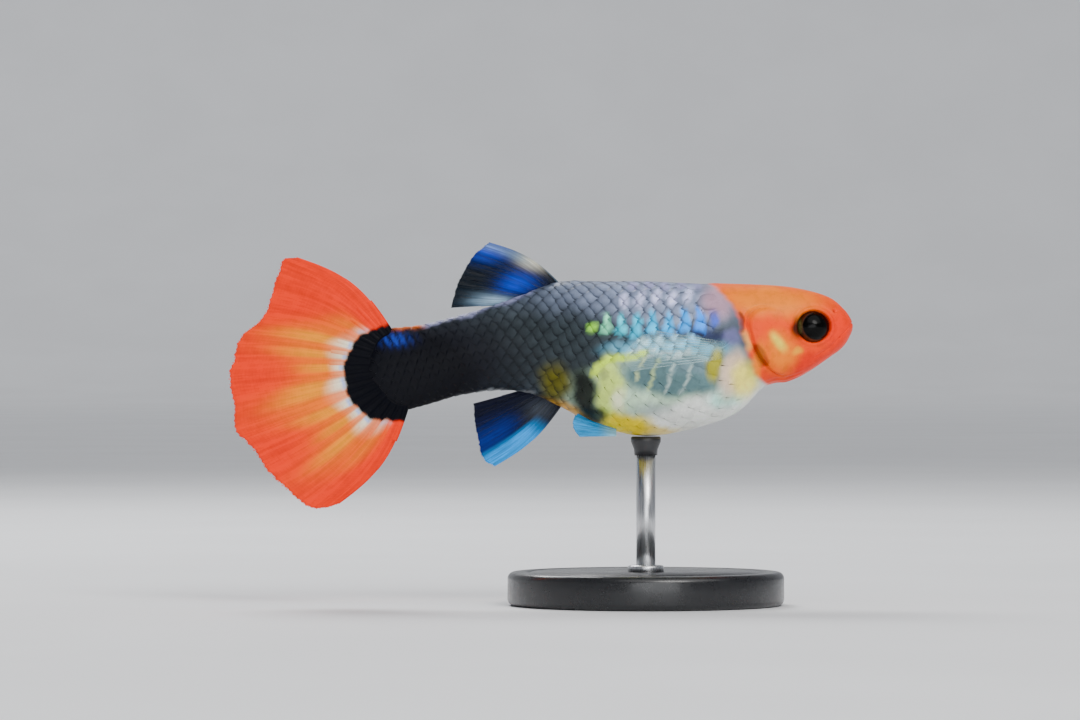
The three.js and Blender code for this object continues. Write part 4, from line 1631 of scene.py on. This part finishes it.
@dataclass(frozen=True)
class RayPlan:
    """How a fin's rays branch and taper."""

    rays: int
    forks: Pair = (0.42, 0.7)
    girth_root: float = 0.15
    girth_tip: float = 0.035
    sides: int = 7

    def strands(self, samples: int) -> list[tuple[Array, Array, Array]]:
        """Return the stretches of every ray as across, along and girth.

        Args:
            samples: Points in each stretch.

        Returns:
            One entry for each stretch between forks.
        """
        result = []
        gap = 1 / (self.rays - 1)
        first, second = self.forks
        for ray in range(self.rays):
            base = ray * gap
            inward = 1 if ray == 0 else -1 if ray == self.rays - 1 else 0
            levels = [(0.0, first, (0.0,)), (first, second, (-1.0, 1.0)), (second, 1.0, (-1.0, 1.0))]
            for start, end, twigs in levels:
                along = np.linspace(start, end, samples)
                girth = self.girth_root + (self.girth_tip - self.girth_root) * along
                girth = girth * (1 - 0.18 * len(twigs) * (start > 0))
                opening = 0.25 * gap * smooth(first, min(1.0, first + 0.3), along)
                spread = 0.125 * gap * smooth(second, 1.0, along)
                for twig in twigs:
                    if inward and twig == -inward and start > 0:
                        twig = 0.0
                    if start < second:
                        result.append((base + twig * opening, along, girth))
                        continue
                    for split in (-1.0, 1.0):
                        across = base + twig * opening + split * spread
                        result.append((np.clip(across, 0.0, 1.0), along, girth * 0.8))
        return result


@dataclass
class Fin:
    """A thin membrane with branching rays, between a root line in the flesh and a free edge."""

    name: str = "fin"
    slot: Slot = Slot.BLUE_FIN
    plan: RayPlan = RayPlan(8)
    thick_root: float = 0.16
    thick_tip: float = 0.05
    pleat: float = 0.05
    ragged: float = 0.03
    rows: int = 48
    columns_per_ray: int = 14
    opacity_from_tint: bool = True
    rays_from_tint: bool = False
    opacity: float = 1.0
    streaks: float = 0.22
    samples: int = 14

    def at(self, across: Array, along: Array) -> Array:
        """Return the fin's middle surface; each kind of fin gives its own."""
        raise NotImplementedError

    def normal(self, along: Array) -> Array:
        """Return the fin's normals at shares along the rays."""
        return np.tile([0.0, 1.0, 0.0], (len(along), 1))

    def tint(self, across: Array, along: Array, points: Array, ray: bool) -> Array:
        """Return the fin's colours; each kind of fin gives its own."""
        raise NotImplementedError

    def reach(self, across: Array) -> Array:
        """Return how far the membrane reaches along its rays, uneven at the free edge."""
        chance = np.random.default_rng(SEED + len(self.name))
        twigs = 4 * (self.plan.rays - 1)
        knots = chance.uniform(0, 1, twigs + 1)
        uneven = np.interp(across, np.linspace(0, 1, twigs + 1), knots)
        scallop = 0.5 - 0.5 * np.cos(2 * math.pi * across * twigs)
        return 1 - self.ragged * (0.55 * uneven + 0.45 * scallop)

    def membrane(self) -> bpy.types.Object:
        """Build the membrane as a thin closed sheet with soft pleats between the rays."""
        columns = (self.plan.rays - 1) * self.columns_per_ray + 1
        across, along = np.meshgrid(np.linspace(0, 1, columns), np.linspace(0, 1, self.rows), indexing="xy")
        across, along = across.ravel(), along.ravel()
        reached = along * self.reach(across)
        middle = self.at(across, reached)
        normal = self.normal(reached)
        folds = self.pleat * reached * np.cos(2 * math.pi * across * (self.plan.rays - 1))
        half = self.thick_root + (self.thick_tip - self.thick_root) * reached**0.6
        points = np.vstack([middle + normal * (folds + side * half)[:, None] for side in (1, -1)])
        sides, rim = sheet_faces(self.rows, columns)
        size = len(across)
        faces = [(face[0], *reversed(face[1:])) for face in sides]
        faces += [(b, a, size + a, size + b) for a, b in rim]
        web = np.stack([across, reached, np.zeros(size)], axis=1)
        tint = self.tint(across, reached, middle, False)
        piece = new_object(f"guppy_{self.name}", points, faces, {
            "tint": np.vstack([tint, tint]), "web": np.vstack([web, web]),
        })
        self.face_out(piece)
        return piece

    @staticmethod
    def face_out(piece: bpy.types.Object) -> None:
        """Turn a closed piece's faces outwards if they point inwards."""
        mesh = piece.data
        mesh.calc_loop_triangles()
        points = np.array([vertex.co for vertex in mesh.vertices])
        corners = np.array([triangle.vertices for triangle in mesh.loop_triangles])
        a, b, c = points[corners[:, 0]], points[corners[:, 1]], points[corners[:, 2]]
        if np.einsum("ij,ij->i", a, np.cross(b, c)).sum() < 0:
            mesh.flip_normals()

    def rays(self, material: bpy.types.Material) -> bpy.types.Object:
        """Sweep the rays along their lines.

        Args:
            material: The rays' material.

        Returns:
            The rays as one plain piece.
        """
        lines, tints, webs, girths, edges = [], [], [], [], []
        count = 0
        for across, along, girth in self.plan.strands(self.samples):
            reached = along * (1 - 0.25 * self.ragged)
            middle = self.at(across, reached)
            folds = self.pleat * reached * np.cos(2 * math.pi * across * (self.plan.rays - 1))
            lines.append(middle + self.normal(reached) * folds[:, None])
            tints.append(self.tint(across, reached, middle, True))
            webs.append(np.stack([across, reached, np.zeros(len(across))], axis=1))
            girths.append(girth)
            edges += [(count + step, count + step + 1) for step in range(len(across) - 1)]
            count += len(across)
        item = new_object(f"{self.name}_lines", np.vstack(lines), [], {
            "tint": np.vstack(tints), "web": np.vstack(webs), "girth": np.concatenate(girths) * MM,
        }, edges)
        tool = NodeTool(f"{self.name}_ray_sweep", {
            "Sides": ("NodeSocketInt", self.plan.sides), "Material": ("NodeSocketMaterial", material),
        })
        curve = tool.graph.add("GeometryNodeMeshToCurve", {"Mesh": tool.source["Geometry"]}).outputs[0]
        circle = tool.graph.add(
            "GeometryNodeCurvePrimitiveCircle", {"Resolution": tool.source["Sides"], "Radius": 1.0}
        ).outputs[0]
        sweep = tool.graph.add("GeometryNodeCurveToMesh", {
            "Curve": curve, "Profile Curve": circle, "Scale": tool.named("girth", "FLOAT"),
            "Fill Caps": True,
        })
        tool.finish(sweep.outputs[0])
        return tool.apply(item, f"guppy_{self.name}_rays")

    def build(self) -> None:
        """Build and dress the membrane and its rays."""
        lines = 4.0 * (self.plan.rays - 1)
        web_finish = FinTissue(f"{self.name}_membrane", lines, self.streaks, self.opacity_from_tint)
        ray_finish = FinTissue(f"{self.name}_ray", lines, 0.5 * self.streaks, self.rays_from_tint)
        dress(self.membrane(), web_finish.material(), (self.name,))
        material = ray_finish.material()
        dress(self.rays(material), material)


def bowed(start: Array, end: Array, along: Array, bow: Array) -> Array:
    """Rule lines from start to end, bent aside in the fin's own plane.

    Args:
        start: Root places.
        end: Tip places.
        along: Shares of the way.
        bow: How far the middle of each line is bent.

    Returns:
        Places on the lines.
    """
    ray = end - start
    aside = np.stack([-ray[:, 2], np.zeros(len(ray)), ray[:, 0]], axis=1)
    aside /= np.linalg.norm(aside, axis=1, keepdims=True)
    bend = (-bow * np.sin(math.pi * along))[:, None]
    return start + ray * along[:, None] + aside * bend


def upright(flat: Array) -> Array:
    """Turn places in the plane of the side view into places in space."""
    return np.stack([flat[:, 0], np.zeros(len(flat)), flat[:, 1]], axis=1)


@dataclass
class TailFin(Fin):
    """The wide red-orange fan of the tail."""

    name: str = "caudal_fin"
    slot: Slot = Slot.TAIL_FIN
    plan: RayPlan = RayPlan(16, (0.3, 0.58), 0.36, 0.066)
    thick_root: float = 0.34
    thick_tip: float = 0.055
    pleat: float = 0.04
    rows: int = 84
    opacity_from_tint: bool = False
    streaks: float = 0.12
    samples: int = 36
    sunk: float = 0.5
    upper_bow: float = 1.15
    lower_bow: float = 1.05
    sway: float = 0.35
    hub: Pair = (-12.4, 19.6)
    edge: Path = (
        (-20.3, 28.95), (-21.5, 28.75), (-21.95, 27.5), (-23.1, 24.1), (-25.0, 22.35), (-25.6, 20.4),
        (-26.0, 18.9), (-25.55, 16.8), (-25.4, 14.6), (-24.1, 13.1), (-22.6, 11.0), (-20.9, 9.35),
        (-19.3, 8.15), (-18.0, 8.05), (-16.8, 8.4),
    )

    def __post_init__(self) -> None:
        """Lay the root line round the end of the stalk, a little inside it."""
        ends = BODY.sections[BODY.tail_root:-1]
        outline = [section.back for section in ends] + [section.belly for section in reversed(ends)]
        spots = np.array(outline) - self.hub
        inner = 1 - self.sunk / np.linalg.norm(spots, axis=1, keepdims=True)
        self.root_curve = Curve([tuple(spot) for spot in spots * inner + self.hub])
        self.edge_curve = Curve(list(self.edge))

    def at(self, across: Array, along: Array) -> Array:
        """Return places on the fan, with its outer rays bowed and a slight sideways wave."""
        start, end = upright(self.root_curve.at(across)), upright(self.edge_curve.at(across))
        upper = self.upper_bow * np.clip(1 - 2 * across, 0, 1) ** 1.5
        lower = self.lower_bow * np.clip(2 * across - 1, 0, 1) ** 1.5
        points = bowed(start, end, along, upper - lower)
        points[:, 1] += self.sway * along**2 * np.sin(across * 5.2 + 0.6)
        return points

    def tint(self, across: Array, along: Array, points: Array, ray: bool) -> Array:
        """Colour the fan: black round its root, then pale streaks that turn yellow, orange and red."""
        x, z = points[:, 0], points[:, 2]
        reach = LIVERY.spot_reach(x, z)
        out = np.hypot(x - LIVERY.spot_hub[0], z - LIVERY.spot_hub[1]) * (1 - 1 / np.maximum(reach, 1.0))
        phase = across * 10.5 + 0.25 * np.sin(across * 17) + 0.35
        streak = 0.5 + 0.5 * np.cos(2 * math.pi * phase)
        streak = smooth(0.15, 0.85, streak)
        middle = smooth(0.08, 0.26, across) * (1 - smooth(0.8, 0.97, across))
        length = 3.0 + 1.2 * np.sin(across * 23 + 1) + 1.6 * middle
        red, orange = linear((250, 46, 0)), linear((255, 92, 0))
        yellow, cream, fringe = linear((255, 150, 0)), linear((255, 246, 220)), linear((150, 180, 255))
        colour = lay(red, (
            (orange, middle * (1 - smooth(0.2, 2.1, out / length)) * (0.7 + 0.3 * streak)),
            (yellow, middle * (0.35 + 0.65 * streak) * (1 - smooth(0.5, 1.5, out / length))),
            (cream, middle * (0.2 + 0.8 * streak) * (1 - smooth(0.02, 0.42, out / length))),
            (fringe, bell(reach - 1.04, 0.045) * middle * streak * 0.8),
            (linear(LIVERY.night), 1 - smooth(0.95, 1.03, reach)),
        ))
        return with_alpha(np.clip(colour * 1.04, 0, 1) if ray else colour)


@dataclass
class MiddleFin(Fin):
    """A fin that stands on the middle line of the back or the belly."""

    plan: RayPlan = RayPlan(9, (0.5, 0.74), 0.13, 0.03)
    start: float = 0.0
    stop: float = 0.0
    back: bool = True
    sunk: float = 0.45
    bow: float = 0.0
    edge: Path = ()

    def __post_init__(self) -> None:
        """Trace the free edge."""
        self.edge_curve = Curve(list(self.edge))

    def at(self, across: Array, along: Array) -> Array:
        """Return places on the fin, with its leading rays bowed."""
        x = self.start + (self.stop - self.start) * across
        z = BODY.outline_height(x, self.back) + (-self.sunk if self.back else self.sunk)
        start = np.stack([x, np.zeros(len(x)), z], axis=1)
        return bowed(start, upright(self.edge_curve.at(across)), along, self.bow * (1 - across) ** 2)


@dataclass
class DorsalFin(MiddleFin):
    """The blue and smoky fin on the back."""

    name: str = "dorsal_fin"
    opacity: float = 0.8
    start: float = 1.7
    stop: float = -2.4
    bow: float = 0.6
    edge: Path = (
        (-4.3, 30.2), (-5.5, 29.2), (-6.3, 28.0), (-7.0, 26.5), (-7.45, 24.75),
    )

    def tint(self, across: Array, along: Array, points: Array, ray: bool) -> Array:
        """Colour the fin: smoky blue, with blue and cream patches and a pale lower edge."""
        smoke, blue = linear((8, 18, 28)), linear((14, 66, 214))
        pale, cream = linear((168, 204, 232)), linear((214, 206, 180))
        colour = lay(smoke, (
            (blue, 0.8 * bell(across - 0.12, 0.16) * bell(along - 0.9, 0.22)),
            (blue, 0.85 * bell(across - 0.45, 0.22) * bell(along - 0.3, 0.18)),
            (cream, 0.9 * bell(across - 0.02, 0.12) * bell(along - 0.42, 0.14)),
            (pale, 0.8 * bell(across - 0.9, 0.12) * bell(along - 0.35, 0.3)),
            (pale, 0.35 * bell(across - 0.06, 0.07) * smooth(0.2, 0.6, along)),
        ))
        return with_alpha(colour * 0.7 + pale * 0.14) if ray else with_alpha(colour, self.opacity)


@dataclass
class AnalFin(MiddleFin):
    """The dark fin behind the belly with a bright blue leading band."""

    name: str = "anal_fin"
    opacity: float = 0.86
    start: float = 1.8
    stop: float = -0.8
    back: bool = False
    bow: float = -0.55
    edge: Path = (
        (-3.9, 11.5), (-4.9, 12.3), (-5.2, 13.8), (-5.5, 15.4), (-5.6, 16.75),
    )

    def tint(self, across: Array, along: Array, points: Array, ray: bool) -> Array:
        """Colour the fin: dark violet, with a bright blue band along its leading rays."""
        dark, blue = linear((12, 15, 34)), linear((0, 156, 244))
        deep, smoke = linear((10, 40, 130)), linear((96, 104, 112))
        colour = lay(dark, (
            (smoke, 0.35 * bell(across - 0.3, 0.3) * bell(along - 0.15, 0.2)),
            (deep, 0.8 * bell(across - 0.42, 0.2) * smooth(0.3, 0.7, along)),
            (blue, (1 - smooth(0.17, 0.3, across)) * smooth(0.2, 0.5, along)),
        ))
        return with_alpha(np.clip(colour * 1.15 + 0.02, 0, 1)) if ray else with_alpha(colour, self.opacity)


@dataclass
class PairedFin(Fin):
    """A fin of a pair, which fans out from a short root line."""

    thick_root: float = 0.1
    thick_tip: float = 0.03
    pleat: float = 0.03
    length: float = 9.1
    spread: float = 17.0
    root: Triple = (0.0, 0.0, 0.0)
    root_line: Triple = (0.0, 0.0, -1.0)
    heading: Triple = (-1.0, 0.0, 0.0)
    spread_line: Triple = (0.0, 0.0, -1.0)

    def at(self, across: Array, along: Array) -> Array:
        """Return places on the fan."""
        turn = math.radians(self.spread) * (2 * across - 1)
        heading, aside = np.array(self.heading), np.array(self.spread_line)
        tip = np.cos(turn)[:, None] * heading + np.sin(turn)[:, None] * aside
        length = self.length * (0.8 + 0.2 * np.sin(math.pi * (0.15 + 0.75 * (1 - across))))
        start = np.array(self.root) + (across - 0.5)[:, None] * np.array(self.root_line)
        return start + tip * (length * along)[:, None]

    def normal(self, along: Array) -> Array:
        """Return the fan's normals, which twist from the root's lie to the fan's own."""
        line = np.array(self.root_line) / np.linalg.norm(self.root_line)
        lines = line * (1 - along)[:, None] + np.array(self.spread_line) * along[:, None]
        cross = np.cross(lines, np.array(self.heading))
        return cross / np.linalg.norm(cross, axis=1, keepdims=True)


@dataclass
class PectoralFin(PairedFin):
    """A clear fin behind a gill cover."""

    slot: Slot = Slot.CLEAR_FIN
    plan: RayPlan = RayPlan(11, (0.5, 0.76), 0.07, 0.02, 6)
    rays_from_tint: bool = True
    opacity: float = 0.04
    ray_opacity: float = 0.24

    @classmethod
    def on(cls, side: Side) -> PectoralFin:
        """Place the fin on a flank.

        Args:
            side: Which flank.

        Returns:
            The fin.
        """
        x, z, outward, roll = 15.0, 21.2, math.radians(25), math.radians(64)
        sign = side.value
        heading = np.array([-math.cos(outward), -sign * math.sin(outward), 0.0])
        out = np.array([-math.sin(outward), -sign * math.cos(outward), 0])
        spread_line = np.array([0, 0, -math.cos(roll)]) + out * math.sin(roll)
        half = abs(BODY.flank(x, z)[1])
        return cls(
            name=f"pectoral_fin_{side.name.lower()}", root=(x + 0.25, -sign * (half - 0.1), z),
            root_line=(0.0, 0.0, -1.3), heading=tuple(heading), spread_line=tuple(spread_line),
        )

    def tint(self, across: Array, along: Array, points: Array, ray: bool) -> Array:
        """Colour the fin: clear, with pale rays."""
        clear, milky = linear((188, 222, 224)), linear((200, 206, 196))
        root = 1 - smooth(0.05, 0.35, along)
        opacity = (self.ray_opacity if ray else self.opacity) * (1 - 0.85 * root)
        return with_alpha(lay(clear, ((milky, root),)), opacity)


@dataclass
class PelvicFin(PairedFin):
    """A small blue fin under the belly."""

    plan: RayPlan = RayPlan(6, (0.5, 0.76), 0.06, 0.02, 6)
    opacity: float = 0.75
    length: float = 3.7
    spread: float = 16.0

    @classmethod
    def on(cls, side: Side) -> PelvicFin:
        """Place the fin under the belly.

        Args:
            side: Which side of the middle line.

        Returns:
            The fin.
        """
        sign, splay, rise, roll = side.value, math.radians(7), math.radians(12), math.radians(50)
        heading = np.array([-math.cos(splay), -sign * math.sin(splay), math.sin(rise)])
        heading /= np.linalg.norm(heading)
        spread_line = np.array([0, -sign * math.cos(roll), -math.sin(roll)])
        x, y = 6.3, 1.5
        root = (x, -sign * y, float(BODY.outline_height(np.array([x]), False)[0]) + 0.12)
        return cls(
            name=f"pelvic_fin_{side.name.lower()}", root=root, root_line=tuple(spread_line * 0.9),
            heading=tuple(heading), spread_line=tuple(spread_line),
        )

    def tint(self, across: Array, along: Array, points: Array, ray: bool) -> Array:
        """Colour the fin: sky blue with paler rays."""
        sky, pale = linear((40, 158, 226)), linear((176, 222, 236))
        paler = 0.6 * (1 - smooth(0.0, 0.5, along)) + (0.25 if ray else 0)
        return with_alpha(lay(sky, ((pale, paler),)), 1.0 if ray else self.opacity)


# Stand


@dataclass(frozen=True)
class Stand:
    """A satin black disc with a brushed rod and a soft cup that holds the belly."""

    centre_x: float = 8.8
    radius: float = 11.5
    height: float = 2.8
    edge: float = 0.55
    foot: float = 0.35
    groove: float = 0.12
    rod: float = 0.8
    cup: float = 1.25

    def build(self) -> None:
        """Build and dress the base, the collar, the rod and the cup."""
        rim, top_face, groove = self.radius - self.edge, self.height, self.height - self.groove
        profile = [(0.0, self.foot), (self.radius - 1.2, self.foot), (self.radius - 1.2, 0.0)]
        profile += [(self.radius - 0.7, 0.0)] + rounded((rim, self.edge), self.edge, -90, 0)
        profile += rounded((rim, top_face - self.edge), self.edge, 0, 90)
        profile += [(self.radius - 1.5, top_face), (self.radius - 1.65, groove)]
        profile += [(self.radius - 1.85, groove), (self.radius - 2.0, top_face), (0.0, top_face)]
        base = lathe("stand_disc", profile, self.centre_x, 128)
        plastic = MouldedPlastic("satin_black", (20, 21, 24), 0.3)
        dress(base, plastic.material(), ("stand_base",))
        top = float(BODY.outline_height(np.array([self.centre_x]), False)[0])
        steel = BrushedSteel()
        collar = [(0.0, top_face - 0.1), (1.5, top_face - 0.1)] + rounded((1.3, top_face + 0.35), 0.2, 0, 90)
        collar += [(self.rod, top_face + 0.55), (0.0, top_face + 0.55)]
        metal = steel.material()
        dress(lathe("stand_collar", collar, self.centre_x, 64), metal)
        rod = [(0.0, 1.4), (self.rod, 1.4), (self.rod, top - 0.9), (0.0, top - 0.9)]
        dress(lathe("stand_post", rod, self.centre_x, 48), metal, ("stand_rod",))
        cup = [(0.0, top - 1.5), (self.rod + 0.16, top - 1.5), (self.rod + 0.2, top - 1.0)]
        cup += [(self.cup, top - 0.35), (self.cup, top - 0.02), (self.cup - 0.12, top + 0.06)]
        cup += [(0.6, top + 0.05), (0.0, top + 0.02)]
        soft = MouldedPlastic("soft_cup", (36, 37, 40), 0.5)
        dress(lathe("stand_cup", cup, self.centre_x, 48), soft.material())


# Studio


@dataclass(frozen=True)
class Studio:
    """The pale sweep, the soft lights and the camera at the photo's angle, in metres."""

    distance: float = 0.45
    view_width: float = 0.0898
    look_height: float = 0.0204
    floor_radius: float = 2.2
    wall_bend: float = 0.6
    wall_height: float = 1.6
    air_colour: tuple[float, ...] = (0.9, 0.93, 1.0, 1.0)
    air_light: float = 0.25

    def sweep(self) -> None:
        """Build the round floor, whose edge curves up into a low wall all round."""
        bend, around = self.wall_bend, 48
        path = rounded((self.floor_radius, bend), bend, -90, 0, 9)
        path.append((self.floor_radius + bend, self.wall_height))
        turn = np.linspace(0, 2 * math.pi, around, endpoint=False)
        rings = [np.stack([radius * np.cos(turn), radius * np.sin(turn), np.full(around, height)], axis=1)
                 for radius, height in path]
        points = np.vstack([*rings, [[0, 0, 0]]]) / MM
        faces = [tuple(reversed(face)) for face in ring_faces(len(path), around)]
        faces += [(len(points) - 1, index, (index + 1) % around) for index in range(around)]
        floor = new_object("sweep", points, faces)
        floor.data.materials.append(Paper().material())

    def light(self, name: str, place: Triple, size: float | None, power: float, tint: Colour) -> None:
        """Hang one soft lamp that points at the fish.

        Args:
            name: The lamp's name.
            place: Where it hangs, in metres.
            size: Its width in metres, or none for light that fills the whole room evenly.
            power: Its power in watts, or in watts to the square metre.
            tint: Its colour.
        """
        lamp = bpy.data.lights.new(name, "SUN" if size is None else "AREA")
        lamp.energy = power
        lamp.color = tint
        if size is None:
            lamp.angle = math.radians(70)
        else:
            lamp.shape = "DISK"
            lamp.size = size
        item = put_in_scene(name, lamp)
        item.location = place
        direction = np.array([0.0, 0.0, self.look_height]) - np.array(place)
        flat = math.hypot(direction[0], direction[1])
        item.rotation_euler = (math.atan2(flat, -direction[2]), 0, math.atan2(-direction[0], direction[1]))

    def build(self) -> None:
        """Build the floor, the lamps, the air and the camera."""
        self.sweep()
        self.light("room", (0.3, -0.6, 0.8), None, 1.4, (1.0, 1.0, 1.0))
        self.light("key", (0.16, -0.34, 0.3), 0.22, 1.15, (1.0, 0.98, 0.95))
        self.light("fill", (0.06, -0.42, 0.02), 0.3, 0.8, (0.96, 0.98, 1.0))
        self.light("rim", (-0.1, 0.24, 0.3), 0.2, 1.2, (1.0, 1.0, 1.0))
        self.air()
        self.camera()

    def air(self) -> None:
        """Fill the room with a faint cool light."""
        world = bpy.data.worlds.new("studio_air")
        world.use_nodes = True
        air = world.node_tree.nodes["Background"].inputs
        air[0].default_value, air[1].default_value = self.air_colour, self.air_light
        bpy.context.scene.world = world

    def camera(self) -> None:
        """Set the camera level with the fish, square to its right side."""
        camera = bpy.data.cameras.new("camera")
        camera.sensor_width = 36.0
        camera.lens = camera.sensor_width * self.distance / self.view_width
        camera.clip_start = 0.01
        item = put_in_scene("camera", camera)
        item.location = (0.0, -self.distance, self.look_height)
        item.rotation_euler = (math.pi / 2, 0, 0)
        bpy.context.scene.camera = item


def main() -> None:
    """Build the studio, the fish and the stand."""
    logging.basicConfig(level=logging.INFO, format="%(message)s")
    Studio().build()
    Skin().build()
    ScaleCoat().build()
    for side in Side:
        Eye(side).build()
        PectoralFin.on(side).build()
        PelvicFin.on(side).build()
    TailFin().build()
    DorsalFin().build()
    AnalFin().build()
    Stand().build()


if __name__ == "__main__":
    main()
